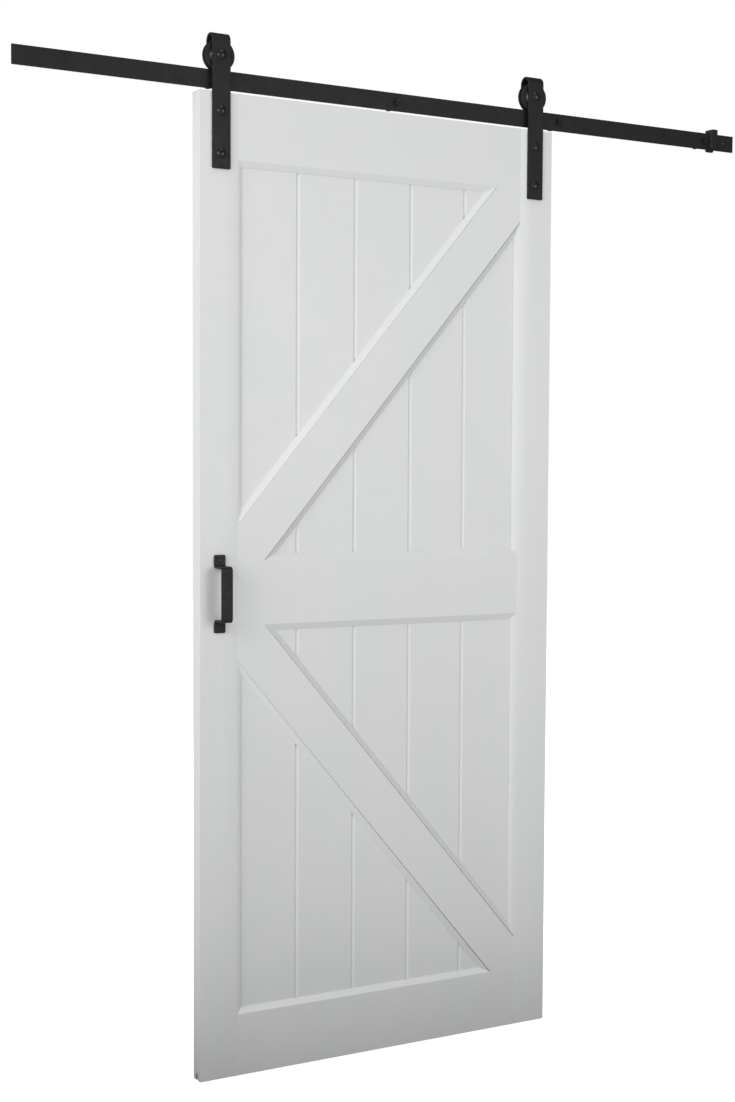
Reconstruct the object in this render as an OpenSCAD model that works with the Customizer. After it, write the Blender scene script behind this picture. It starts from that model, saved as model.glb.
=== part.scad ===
// Sliding barn door: a framed and braced door slab that hangs from a flat track on two
// strap hangers with grooved wheels, with a pull handle and one end stop on the track.
// Origin: on the wall plane, in the middle of the four track bolts.
// +X runs along the track to the right, +Y goes into the wall, +Z is up.

/* [Door] */
// Width of the door
door_w = 914; // [800:1:1100]
// Height of the door
door_h = 2134; // [1900:1:2600]
// Thickness of the stiles and rails
door_t = 35; // [32:1:42]
// Gap between the top of the door and the underside of the track
door_gap = 7; // [4:0.5:12]
// Gap between the back of the door and the wall
wall_gap = 12; // [11:0.5:20]
// Distance from the left edge of the door to the first track bolt
door_to_bolt = 40; // [20:1:80]

/* [Frame] */
// Width of the flat face of each stile
stile_w = 89; // [80:1:120]
// Height of the flat face of the top rail
top_rail_w = 140; // [116:1:180]
// Height of the flat face of the middle rail
middle_rail_w = 141; // [110:1:180]
// Height of the flat face of the bottom rail
bottom_rail_w = 137; // [110:1:220]
// Width of the flat face of each brace
brace_w = 102; // [70:1:130]
// Width of the bevel around each pocket
bevel_w = 13.5; // [8:0.5:20]
// Depth of the pockets below the face of the frame
recess_d = 8; // [5:0.5:10]
// Thickness of the thin edge of the bevel, where it meets the panel
lip_t = 1; // [0.5:0.5:2]
// Depth of the groove that holds the panels and the ends of the rails
tongue_l = 8; // [5:0.5:12]
// Space left around a panel in its groove
panel_fit = 0.1; // [0:0.05:0.3]
// Diameter of the hidden frame dowels
dowel_d = 12; // [8:0.5:14]
// Length of the hidden frame dowels
dowel_l = 70; // [50:1:90]
// Radial space around a dowel in its bore
dowel_fit = 0.05; // [0.05:0.05:0.2]

/* [Panels] */
// Distance between the grooves that mark the planks
plank_w = 145; // [90:1:160]
// Number of grooves across a panel
groove_count = 4; // [2:1:5]
// Width of each plank groove at the face
groove_w = 9.5; // [4:0.5:12]
// Depth of each plank groove
groove_d = 3; // [1:0.5:5]

/* [Floor guide groove] */
// Width of the groove along the bottom of the door
guide_w = 6.5; // [5:0.5:10]
// Depth of the groove along the bottom of the door
guide_d = 16; // [10:1:22]

/* [Track] */
// Length of the track
track_l = 1889; // [1600:1:2400]
// Height of the track bar
track_h = 40; // [32:1:50]
// Thickness of the track bar
track_t = 6; // [5:0.5:8]
// Distance between neighbouring track bolts
bolt_pitch = 450; // [380:1:480]
// Distance from the left end of the track to the first bolt
track_lead = 445; // [100:1:460]
// Distance from the right end of the track to its spare hole
spare_hole_inset = 30; // [20:1:36]
// Diameter of the spare hole
spare_hole_d = 6; // [4:0.5:9]
// Distance from the rim of the round spacers to the lower edge of the track
spacer_inset = 5.5; // [5:0.5:9]
// Depth that the track bolts reach into the wall
lag_embed = 44; // [30:1:80]
// Diameter of the plain shank of a track bolt, between its head and the wall
lag_shank_d = 7.2; // [5.5:0.1:7.6]
// Length of the tapered point of a track bolt
lag_tip = 8; // [4:1:12]
// Outer diameter of the washers under the track bolts
track_washer_d = 20; // [17:0.5:22]

/* [Hangers] */
// Width of the hanger straps
strap_w = 42; // [36:1:50]
// Thickness of the hanger straps
strap_t = 5; // [4:0.5:6]
// Distance from the door's edge to the middle of the strap
strap_inset = 50; // [35:1:60]
// Length of the strap on the face of the door
strap_drop = 162; // [155:1:240]
// Distance from the top of the door to the upper strap bolt
bolt_drop = 40; // [25:1:50]
// Distance between the two strap bolts
strap_bolt_pitch = 90; // [60:1:95]
// Length of the strap's back leg below the axle
back_leg = 16; // [14:1:20]
// Radius of the strap's lower corners
strap_corner_r = 3; // [1:0.5:6]

/* [Wheels] */
// Radius of the wheel where it runs on the track
tread_r = 30; // [25:0.5:36]
// Height of the wheel's flanges beside the track
flange_h = 4; // [3:0.5:5]
// Width of the wheel
wheel_w = 20; // [18:0.5:24]
// Space on each side of the track in the wheel's groove
groove_side = 1; // [0.5:0.25:2]
// Space between the wheel's tread and the track
run_gap = 0.3; // [0.2:0.05:0.4]
// Space between the wheel and each leg of the strap
wheel_side = 2; // [1:0.5:4]
// Space between the wheel's flange and the crown of the strap
crown_gap = 8; // [4:1:14]
// Width of the dished ring in each side of the wheel
web_w = 5; // [3:0.5:6]
// Outer diameter of the wheel bearing
bearing_d = 22; // [19:1:24]
// Width of the wheel bearing
bearing_w = 7; // [6:1:9]
// Outer diameter of the sleeves beside the bearing
sleeve_d = 12; // [11:0.5:14]
// End space between a sleeve and the bearing
sleeve_gap = 0.2; // [0.1:0.05:0.4]

/* [Fasteners] */
// Diameter of the axles, strap bolts and track bolts
bolt_d = 8; // [6:0.5:10]
// Radial space around a bolt in its hole
bolt_fit = 0.25; // [0.1:0.05:0.5]
// Radial space between an axle and its bearing
axle_fit = 0.1; // [0.05:0.05:0.2]
// Diameter of the domed bolt heads
dome_d = 22; // [18:1:26]
// Height of the domed bolt heads
dome_h = 6; // [4:0.5:8]
// Width across the flats of the nuts and hex heads
hex_w = 13; // [11:0.5:16]
// Height of the hex heads
hex_h = 5.5; // [4:0.5:6]
// Height of the nuts
nut_h = 6.5; // [5:0.5:7]
// Thickness of the washers
washer_t = 1.6; // [1:0.1:2]
// Outer diameter of the washers behind the door
back_washer_d = 24; // [18:1:30]
// Length of bolt that shows past a nut
bolt_end = 1.5; // [0.5:0.5:2]

/* [Handle] */
// Overall height of the pull handle
handle_h = 169; // [130:1:260]
// Width of the handle's flat bar
handle_w = 26; // [20:1:32]
// Thickness of the handle's flat bar
handle_t = 5; // [4:0.5:6]
// Distance from the door's face to the front of the grip
handle_out = 42; // [32:1:60]
// Length of each foot of the handle
foot_l = 24; // [20:1:34]
// Inner radius of the handle's bends
handle_bend_r = 4; // [3:0.5:8]
// Radius of the corners of the feet
foot_corner_r = 4; // [1:0.5:6]
// Distance from the door's edge to the middle of the handle
handle_inset = 46; // [30:1:60]
// Diameter of the handle screws
screw_d = 5; // [4:0.5:6]
// Depth of the handle screws in the door
screw_l = 28; // [20:1:30]
// Diameter of the handle screw heads
screw_head_d = 9; // [8:0.5:12]
// Height of the handle screw heads
screw_head_h = 2; // [1.5:0.5:4]

/* [End stop] */
// Space between the last spacer and the rubber bumper, along the track
stop_clear = 0.5; // [0.5:0.5:20]
// Width of the body along the track
stop_w = 17; // [14:1:24]
// Height of the body above the track
stop_rise = 10; // [6:0.5:14]
// Thickness of the front and back legs
stop_leg_t = 8.7; // [7:0.1:10]
// Space between the legs and the track
stop_fit = 0.3; // [0.1:0.1:0.5]
// Distance that the front leg stops short of the bottom of the track
front_leg_short = 3; // [0:0.5:8]
// Distance that the back leg reaches below the track
back_leg_past = 4; // [0:0.5:8]
// Thickness of the rubber bumper
bumper_t = 4; // [3:0.5:6]
// Distance that the bumper is set in from the edges of the body
bumper_inset = 1; // [0.5:0.5:2]
// Diameter of the set screws
set_screw_d = 6; // [4:0.5:8]
// Distance between the two set screws
set_screw_pitch = 22; // [14:1:26]
// Width across the flats of the set screws' sockets
socket_w = 3; // [2:0.5:4]

/* [Hidden] */
$fn = 64;

// How far a cut runs past the face that it opens
cut = 1;

// Track and wall
bolt_count = 4;
first_bolt_x = -(bolt_count - 1) * bolt_pitch / 2;
last_bolt_x = -first_bolt_x;
bolt_xs = [for (i = [0:bolt_count - 1]) first_bolt_x + i * bolt_pitch];
track_x = first_bolt_x - track_lead;
loop_r = wheel_w / 2 + wheel_side;
spacer_d = track_h - 2 * spacer_inset;
spacer_l = wall_gap + door_t - loop_r - track_t / 2;
track_back_y = -spacer_l;
track_front_y = track_back_y - track_t;
wheel_y = track_back_y - track_t / 2;

// Door
door_x = first_bolt_x - door_to_bolt;
door_y = wheel_y - loop_r;
door_top_z = -track_h / 2 - door_gap;
door_z = door_top_z - door_h;
mid_y = door_y + door_t / 2;
panel_t = door_t - 2 * recess_d;
opening_w = door_w - 2 * stile_w;
opening_h = (door_h - top_rail_w - middle_rail_w - bottom_rail_w) / 2;
lower_opening_z = door_z + bottom_rail_w;
middle_rail_z = lower_opening_z + opening_h;
upper_opening_z = middle_rail_z + middle_rail_w;
brace_angle = atan2(opening_h, opening_w);
brace_l = norm([opening_w, opening_h]) + 2 * brace_w;
socket_floor = stile_w + bevel_w - tongue_l;

// Hangers and wheels
strap_xs = [door_x + strap_inset, door_x + door_w - strap_inset];
strap_front_y = door_y - strap_t;
strap_z = door_top_z - strap_drop;
strap_bolt_zs = [door_top_z - bolt_drop, door_top_z - bolt_drop - strap_bolt_pitch];
axle_z = track_h / 2 + run_gap + tread_r;
flange_r = tread_r + flange_h;
bend_z = axle_z + flange_r + crown_gap - loop_r;
back_leg_z = axle_z - back_leg;
strap_back_y = wheel_y + loop_r + strap_t;
bolt_hole_r = bolt_d / 2 + bolt_fit;

// Handle
handle_x = door_x + handle_inset;
handle_z = middle_rail_z + middle_rail_w / 2;
grip_h = handle_h - 2 * foot_l;
foot_zs = [handle_z - (handle_h - foot_l) / 2, handle_z + (handle_h - foot_l) / 2];

// End stop
stop_x = last_bolt_x + spacer_d / 2 + stop_clear + bumper_t;
stop_half_y = track_t / 2 + stop_fit;

paint = [0.86, 0.87, 0.86];
black = [0.17, 0.17, 0.18];
zinc = [0.62, 0.63, 0.64];
bare_wood = [0.76, 0.62, 0.44];
rubber = [0.08, 0.08, 0.08];

// ---------- shapes that repeat ----------

// A cylinder along +Y from the point p
module rod_y(p, l, r) {
    translate(p) rotate([-90, 0, 0]) cylinder(h = l, r = r);
}

// A six-sided bar along +Y from the point p, w across the flats
module hex_y(p, l, w) {
    translate(p) rotate([-90, 0, 0]) cylinder(h = l, r = w / sqrt(3), $fn = 6);
}

// A ring along +Y from the point p
module ring_y(p, l, r_out, r_in) {
    difference() {
        rod_y(p, l, r_out);
        rod_y(p - [0, cut, 0], l + 2 * cut, r_in);
    }
}

// A hex nut along +Y from the point p
module nut_y(p) {
    difference() {
        hex_y(p, nut_h, hex_w);
        rod_y(p - [0, cut, 0], nut_h + 2 * cut, bolt_d / 2);
    }
}

// A low dome of diameter d and height h that stands out to -Y from the point p
module dome_y(p, d, h) {
    ball_r = (d * d / 4 + h * h) / (2 * h);
    intersection() {
        translate(p + [0, ball_r - h, 0]) sphere(r = ball_r);
        rod_y(p - [0, h, 0], h, d / 2);
    }
}

// A plate in the XZ plane with its low corner at p and its four corners rounded
module plate_y(p, w, t, h, r) {
    translate(p + [r, 0, 0]) cube([w - 2 * r, t, h]);
    translate(p + [0, 0, r]) cube([w, t, h - 2 * r]);
    for (x = [r, w - r], z = [r, h - r]) rod_y(p + [x, 0, z], t, r);
}

// A quarter bend of flat bar about the X axis, between +Y and +Z, starting at x = 0
module quarter_bend(r_in, t, w) {
    rotate([90, 0, 90]) rotate_extrude(angle = 90) translate([r_in, 0]) square([t, w]);
}

// ---------- door frame ----------

// Outline of a moulded inner edge at the distance w from the member's outer edge
function moulded_edge(w) = [
    [w, 0],
    [w + bevel_w, recess_d - lip_t],
    [w + bevel_w, recess_d],
    [w + bevel_w - tongue_l, recess_d],
    [w + bevel_w - tongue_l, door_t - recess_d],
    [w + bevel_w, door_t - recess_d],
    [w + bevel_w, door_t - recess_d + lip_t],
    [w, door_t]
];

function mirrored(points) = [for (i = [len(points) - 1:-1:0]) [-points[i][0], points[i][1]]];

module edge_section(w) {
    polygon(concat([[0, 0]], moulded_edge(w), [[0, door_t]]));
}

module double_section(w) {
    polygon(concat(moulded_edge(w / 2), mirrored(moulded_edge(w / 2))));
}

// Rods across the joints between the rails and both stiles, at the heights zs
module dowels(zs, r, l) {
    for (x = [door_x + socket_floor, door_x + door_w - socket_floor], z = zs)
        translate([x - l / 2, mid_y, z]) rotate([0, 90, 0]) cylinder(h = l, r = r);
}

top_dowel_zs = [for (i = [1, 2]) door_top_z - bolt_drop - i * strap_bolt_pitch / 3];
middle_dowel_zs = [for (i = [1, 3]) middle_rail_z + i * middle_rail_w / 4];
bottom_dowel_zs = [for (i = [1, 2]) door_z + guide_d + i * (bottom_rail_w - guide_d) / 3];
dowel_zs = concat(top_dowel_zs, middle_dowel_zs, bottom_dowel_zs);

module dowel_holes() {
    dowels(dowel_zs, dowel_d / 2 + dowel_fit, dowel_l + 2);
}

module guide_groove() {
    translate([door_x - cut, mid_y - guide_w / 2, door_z - cut])
        cube([door_w + 2 * cut, guide_w, guide_d + cut]);
}

// A stile without its holes, against the left edge of the door
module stile_blank() {
    translate([door_x, door_y, door_z]) linear_extrude(door_h) edge_section(stile_w);
}

module right_stile_blank() {
    translate([2 * door_x + door_w, 0, 0]) mirror([1, 0, 0]) stile_blank();
}

module strap_bolt_holes() {
    for (x = strap_xs, z = strap_bolt_zs)
        rod_y([x, door_y - cut, z], door_t + 2 * cut, bolt_hole_r);
}

module left_stile() {
    color(paint) difference() {
        stile_blank();
        guide_groove();
        strap_bolt_holes();
        dowel_holes();
        for (z = foot_zs) rod_y([handle_x, door_y - cut, z], screw_l + 2 * cut, screw_d / 2);
    }
}

module right_stile() {
    color(paint) difference() {
        right_stile_blank();
        guide_groove();
        strap_bolt_holes();
        dowel_holes();
    }
}

// Turns a section whose first axis is the member's width into a rail along X, long enough
// to reach the middle of both stiles
module along_x(z) {
    translate([door_x + door_w - stile_w / 2, door_y, z]) rotate([0, -90, 0])
        linear_extrude(door_w - stile_w) children();
}

module top_rail_blank() {
    along_x(door_top_z) mirror([1, 0]) edge_section(top_rail_w);
}

module middle_rail_blank() {
    along_x(handle_z) double_section(middle_rail_w);
}

module bottom_rail_blank() {
    along_x(door_z) edge_section(bottom_rail_w);
}

// Cuts a rail's ends to fit over the moulded edges of the stiles, and drills it
module fit_between_stiles() {
    difference() {
        children();
        stile_blank();
        right_stile_blank();
        dowel_holes();
    }
}

module top_rail() {
    color(paint) fit_between_stiles() top_rail_blank();
}

module middle_rail() {
    color(paint) fit_between_stiles() middle_rail_blank();
}

module bottom_rail() {
    color(paint) difference() {
        fit_between_stiles() bottom_rail_blank();
        guide_groove();
    }
}

module frame_dowels() {
    color(bare_wood) dowels(dowel_zs, dowel_d / 2, dowel_l);
}

// ---------- panels and braces ----------

// A panel that fills the opening from z up, with plank grooves on both faces
module panel(z) {
    edge = bevel_w - tongue_l + 2 * panel_fit;
    color(paint) difference() {
        translate([door_x + stile_w + edge, door_y + recess_d + panel_fit, z + edge])
            cube([opening_w - 2 * edge, panel_t - 2 * panel_fit, opening_h - 2 * edge]);
        for (i = [0:groove_count - 1], side = [-1, 1])
            translate([door_x + door_w / 2 + (i - (groove_count - 1) / 2) * plank_w,
                       mid_y + side * (panel_t / 2 - panel_fit), z])
                linear_extrude(opening_h)
                    polygon([[-groove_w / 2, 0], [0, -side * groove_d], [groove_w / 2, 0],
                             [groove_w / 2, side * cut], [-groove_w / 2, side * cut]]);
    }
}

module upper_panel() {
    panel(upper_opening_z);
}

module lower_panel() {
    panel(lower_opening_z);
}

// Cross-section of a brace, flat face first, with a lip half as thick as the frame's
module brace_section() {
    foot = brace_w / 2 + bevel_w;
    rise = recess_d - lip_t / 2;
    polygon([[-brace_w / 2, 0], [brace_w / 2, 0], [foot, rise], [foot, recess_d],
             [-foot, recess_d], [-foot, rise]]);
}

// Cross-section of the pocket in front of a panel, for an opening that is w wide
module pocket_section(w) {
    rise = recess_d - lip_t;
    floor = recess_d + cut;
    polygon([[-bevel_w, -rise], [w + bevel_w, -rise], [w - bevel_w, rise], [w - bevel_w, floor],
             [bevel_w, floor], [bevel_w, rise]]);
}

// A brace across the opening from z up, rising to the right or falling to the right
module brace(z, rising) {
    turn = rising ? 90 - brace_angle : brace_angle - 90;
    color(paint) intersection() {
        translate([door_x + door_w / 2, door_y, z + opening_h / 2]) rotate([0, turn, 0])
            translate([0, 0, -brace_l / 2]) linear_extrude(brace_l) brace_section();
        translate([door_x + stile_w, door_y, z - stile_w / 2])
            linear_extrude(opening_h + stile_w) pocket_section(opening_w);
        along_x(z) pocket_section(opening_h);
    }
}

module upper_brace() {
    brace(upper_opening_z, true);
}

module lower_brace() {
    brace(lower_opening_z, false);
}

// ---------- hangers ----------

// A strap bent over the wheel, with holes for its axle and its two bolts
module hanger_strap(x) {
    left = x - strap_w / 2;
    color(black) difference() {
        union() {
            plate_y([left, strap_front_y, strap_z], strap_w, strap_t, bend_z - strap_z, strap_corner_r);
            translate([left, strap_front_y, bend_z - strap_corner_r])
                cube([strap_w, strap_t, strap_corner_r]);
            translate([left, wheel_y, bend_z]) quarter_bend(loop_r, strap_t, strap_w);
            translate([left, wheel_y, bend_z]) mirror([0, 1, 0]) quarter_bend(loop_r, strap_t, strap_w);
            plate_y([left, wheel_y + loop_r, back_leg_z], strap_w, strap_t,
                    bend_z - back_leg_z, strap_corner_r);
            translate([left, wheel_y + loop_r, bend_z - strap_corner_r])
                cube([strap_w, strap_t, strap_corner_r]);
        }
        rod_y([x, strap_front_y - cut, axle_z], strap_back_y - strap_front_y + 2 * cut, bolt_hole_r);
        for (z = strap_bolt_zs) rod_y([x, strap_front_y - cut, z], strap_t + 2 * cut, bolt_hole_r);
    }
}

module left_hanger_strap() {
    hanger_strap(strap_xs[0]);
}

module right_hanger_strap() {
    hanger_strap(strap_xs[1]);
}

// A bolt along +Y with a domed head, its head against the plane of p, l long under the head
module dome_bolt(p, l) {
    color(black) {
        dome_y(p, dome_d, dome_h);
        rod_y(p, l, bolt_d / 2);
    }
}

module strap_bolts() {
    for (x = strap_xs, z = strap_bolt_zs)
        dome_bolt([x, strap_front_y, z], strap_t + door_t + washer_t + nut_h + bolt_end);
}

module strap_washers() {
    color(zinc) for (x = strap_xs, z = strap_bolt_zs)
        ring_y([x, door_y + door_t, z], washer_t, back_washer_d / 2, bolt_hole_r);
}

module strap_nuts() {
    color(zinc) for (x = strap_xs, z = strap_bolt_zs)
        nut_y([x, door_y + door_t + washer_t, z]);
}

// ---------- wheels ----------

// A grooved wheel; its outline gives radius first, distance from the middle plane second
module wheel(x) {
    rim_r = tread_r - 5;
    hub_r = rim_r - web_w;
    dish = 4;
    edge = 1;
    tread = track_t / 2 + groove_side;
    half = [
        [tread_r, tread],
        [flange_r, tread + edge],
        [flange_r, wheel_w / 2 - edge],
        [flange_r - edge, wheel_w / 2],
        [rim_r, wheel_w / 2],
        [rim_r - edge, wheel_w / 2 - dish],
        [hub_r + edge, wheel_w / 2 - dish],
        [hub_r, wheel_w / 2],
        [bearing_d / 2, wheel_w / 2]
    ];
    other = [for (i = [len(half) - 1:-1:0]) [half[i][0], -half[i][1]]];
    color(black) translate([x, wheel_y, axle_z]) rotate([90, 0, 0])
        rotate_extrude() polygon(concat(half, other));
}

module left_wheel() {
    wheel(strap_xs[0]);
}

module right_wheel() {
    wheel(strap_xs[1]);
}

module wheel_bearing(x) {
    inner = bolt_d / 2 + axle_fit;
    outer = bearing_d / 2;
    shield = 0.4;
    ring = 1.6;
    half = bearing_w / 2;
    color(zinc) translate([x, wheel_y, axle_z]) rotate([90, 0, 0])
        rotate_extrude() polygon([
            [inner, -half], [inner + ring, -half], [inner + ring, shield - half],
            [outer - ring, shield - half], [outer - ring, -half], [outer, -half],
            [outer, half], [outer - ring, half], [outer - ring, half - shield],
            [inner + ring, half - shield], [inner + ring, half], [inner, half]
        ]);
}

module left_wheel_bearing() {
    wheel_bearing(strap_xs[0]);
}

module right_wheel_bearing() {
    wheel_bearing(strap_xs[1]);
}

module axle_bolt(x) {
    dome_bolt([x, strap_front_y, axle_z], strap_back_y - strap_front_y + nut_h + bolt_end);
}

module left_axle_bolt() {
    axle_bolt(strap_xs[0]);
}

module right_axle_bolt() {
    axle_bolt(strap_xs[1]);
}

// The sleeves that hold each bearing in the middle between the legs of its strap
module axle_sleeves() {
    l = loop_r - bearing_w / 2 - sleeve_gap;
    color(zinc) for (x = strap_xs, y = [wheel_y - loop_r, wheel_y + loop_r - l])
        ring_y([x, y, axle_z], l, sleeve_d / 2, bolt_d / 2 + axle_fit);
}

module axle_nuts() {
    color(black) for (x = strap_xs) nut_y([x, strap_back_y, axle_z]);
}

// ---------- pull handle ----------

// Upper half of the handle, from the middle of the grip up to the end of the foot
module half_handle() {
    r = handle_bend_r;
    t = handle_t;
    leg_top = grip_h / 2;
    translate([0, -handle_out, 0]) cube([handle_w, t, leg_top - t - r]);
    translate([0, r + t - handle_out, leg_top - t - r]) mirror([0, 1, 0]) quarter_bend(r, t, handle_w);
    translate([0, r + t - handle_out, leg_top - t]) cube([handle_w, handle_out - 2 * (r + t), t]);
    translate([0, -r - t, leg_top + r]) mirror([0, 0, 1]) quarter_bend(r, t, handle_w);
    translate([0, -t, leg_top + r]) cube([handle_w, t, foot_corner_r]);
    plate_y([0, -t, leg_top + r], handle_w, t, foot_l - r, foot_corner_r);
}

module pull_handle() {
    color(black) translate([handle_x - handle_w / 2, door_y, handle_z]) difference() {
        union() {
            half_handle();
            mirror([0, 0, 1]) half_handle();
        }
        for (z = foot_zs)
            rod_y([handle_w / 2, -handle_t - cut, z - handle_z], handle_t + 2 * cut, screw_d / 2 + bolt_fit);
    }
}

module handle_screws() {
    point = screw_d;
    color(black) for (z = foot_zs) {
        dome_y([handle_x, door_y - handle_t, z], screw_head_d, screw_head_h);
        rod_y([handle_x, door_y - handle_t, z], handle_t + screw_l - point, screw_d / 2 - axle_fit);
        translate([handle_x, door_y + screw_l - point, z]) rotate([-90, 0, 0])
            cylinder(h = point, r1 = screw_d / 2 - axle_fit, r2 = 0);
    }
}

// ---------- track ----------

module track_rail() {
    color(black) difference() {
        translate([track_x, track_front_y, -track_h / 2]) cube([track_l, track_t, track_h]);
        for (x = bolt_xs)
            rod_y([x, track_front_y - cut, 0], track_t + 2 * cut, bolt_hole_r);
        rod_y([track_x + track_l - spare_hole_inset, track_front_y - cut, 0],
              track_t + 2 * cut, spare_hole_d / 2);
    }
}

module rail_spacers() {
    color(black) for (x = bolt_xs)
        ring_y([x, track_back_y, 0], spacer_l, spacer_d / 2, bolt_hole_r);
}

module rail_washers() {
    color(black) for (x = bolt_xs)
        ring_y([x, track_front_y - washer_t, 0], washer_t, track_washer_d / 2, bolt_hole_r);
}

module rail_lag_bolts() {
    head_y = track_front_y - washer_t;
    color(black) for (x = bolt_xs) {
        hex_y([x, head_y - hex_h, 0], hex_h, hex_w);
        rod_y([x, head_y, 0], -head_y, lag_shank_d / 2);
        rod_y([x, 0, 0], lag_embed - lag_tip, bolt_d / 2);
        translate([x, lag_embed - lag_tip, 0]) rotate([-90, 0, 0])
            cylinder(h = lag_tip, r1 = bolt_d / 2, r2 = 0);
    }
}

// ---------- end stop ----------

// A saddle over the track, w along X from x, shrunk by inset on its outer faces
module saddle(x, w, inset) {
    top = track_h / 2 + stop_rise - inset;
    leg_t = stop_leg_t - inset;
    front_z = front_leg_short - track_h / 2 + inset;
    back_z = -track_h / 2 - back_leg_past + inset;
    seat_z = track_h / 2 + stop_fit;
    front_y = wheel_y - stop_half_y - leg_t;
    translate([x, front_y, seat_z]) cube([w, 2 * (stop_half_y + leg_t), top - seat_z]);
    translate([x, front_y, front_z]) cube([w, leg_t, seat_z - front_z]);
    translate([x, wheel_y + stop_half_y, back_z]) cube([w, leg_t, seat_z - back_z]);
}

module set_screws(y, l, r) {
    for (z = [-1, 1] * set_screw_pitch / 2) rod_y([stop_x + stop_w / 2, y, z], l, r);
}

module end_stop_body() {
    color(black) difference() {
        saddle(stop_x, stop_w, 0);
        set_screws(track_back_y, stop_leg_t + stop_fit + cut, set_screw_d / 2 + axle_fit);
    }
}

module end_stop_set_screws() {
    l = stop_leg_t + stop_fit;
    color(zinc) difference() {
        set_screws(track_back_y, l, set_screw_d / 2);
        for (z = [-1, 1] * set_screw_pitch / 2)
            hex_y([stop_x + stop_w / 2, track_back_y + l / 2, z], l / 2 + cut, socket_w);
    }
}

module end_stop_bumper() {
    color(rubber) saddle(stop_x - bumper_t, bumper_t, bumper_inset);
}

left_stile();
right_stile();
top_rail();
middle_rail();
bottom_rail();
upper_panel();
lower_panel();
upper_brace();
lower_brace();
frame_dowels();
left_hanger_strap();
right_hanger_strap();
strap_bolts();
strap_washers();
strap_nuts();
left_wheel();
right_wheel();
left_wheel_bearing();
right_wheel_bearing();
left_axle_bolt();
right_axle_bolt();
axle_sleeves();
axle_nuts();
pull_handle();
handle_screws();
track_rail();
rail_spacers();
rail_lag_bolts();
rail_washers();
end_stop_body();
end_stop_set_screws();
end_stop_bumper();
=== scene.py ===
"""Looks of a sliding barn door: painted door, strap hangers, wheels, pull handle and track.

Everything is in metres in the row's own frame: the origin lies on the wall plane in the
middle of the four track bolts, +X runs along the track, +Y goes into the wall, +Z is up.
"""

import logging
import math
from dataclasses import dataclass
from enum import Enum
from typing import Any, Callable, NamedTuple, Sequence, Union

import bmesh
import bpy
from mathutils import Matrix, Vector


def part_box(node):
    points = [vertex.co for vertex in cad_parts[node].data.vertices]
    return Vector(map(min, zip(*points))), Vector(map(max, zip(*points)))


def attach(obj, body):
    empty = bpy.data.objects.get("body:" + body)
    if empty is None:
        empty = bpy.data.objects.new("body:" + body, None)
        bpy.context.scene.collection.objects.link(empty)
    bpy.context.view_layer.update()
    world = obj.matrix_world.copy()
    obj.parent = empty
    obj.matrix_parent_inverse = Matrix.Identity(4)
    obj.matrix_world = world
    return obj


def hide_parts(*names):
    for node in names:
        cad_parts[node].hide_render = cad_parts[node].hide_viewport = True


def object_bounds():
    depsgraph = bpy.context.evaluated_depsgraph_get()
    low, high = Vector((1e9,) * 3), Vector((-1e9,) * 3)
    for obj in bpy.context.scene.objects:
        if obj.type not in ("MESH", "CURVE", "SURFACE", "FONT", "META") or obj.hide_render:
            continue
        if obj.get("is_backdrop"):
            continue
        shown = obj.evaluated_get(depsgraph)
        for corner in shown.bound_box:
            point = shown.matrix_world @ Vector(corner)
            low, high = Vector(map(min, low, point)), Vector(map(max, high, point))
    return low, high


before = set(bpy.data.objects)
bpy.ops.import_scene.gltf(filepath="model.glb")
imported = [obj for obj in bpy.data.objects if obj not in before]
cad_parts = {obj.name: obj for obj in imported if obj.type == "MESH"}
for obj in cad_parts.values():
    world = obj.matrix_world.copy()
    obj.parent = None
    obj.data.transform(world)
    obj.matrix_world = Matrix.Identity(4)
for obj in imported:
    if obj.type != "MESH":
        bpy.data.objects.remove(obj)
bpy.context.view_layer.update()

log = logging.getLogger("barn_door")
MM = 0.001
WELD = 1e-6  # points nearer than this are one point
TOUCH = 1e-5  # room for rounding where two places are compared
SHARP_FROM = math.radians(48)  # surfaces that turn more than this keep a sharp edge


# ---------------------------------------------------------------- names that are shared


class Body(Enum):
    """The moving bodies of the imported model."""

    TRACK = "track"
    DOOR = "door"
    LEFT_WHEEL = "left_wheel"
    RIGHT_WHEEL = "right_wheel"


class Finish(Enum):
    """The finishes of the object, each with the record's material slot that it belongs to."""

    PAINT = ("satin paint", "white_paint")
    WOOD = ("bare wood", "bare_wood")
    POWDER = ("powder coat", "black_steel")
    OXIDE = ("black oxide", "black_steel")
    ZINC = ("zinc plate", "zinc_steel")
    RUBBER = ("moulded rubber", "black_rubber")

    @property
    def slot(self) -> str:
        """Name of the record's material slot."""
        return self.value[1]


# ---------------------------------------------------------------- finishes


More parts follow.
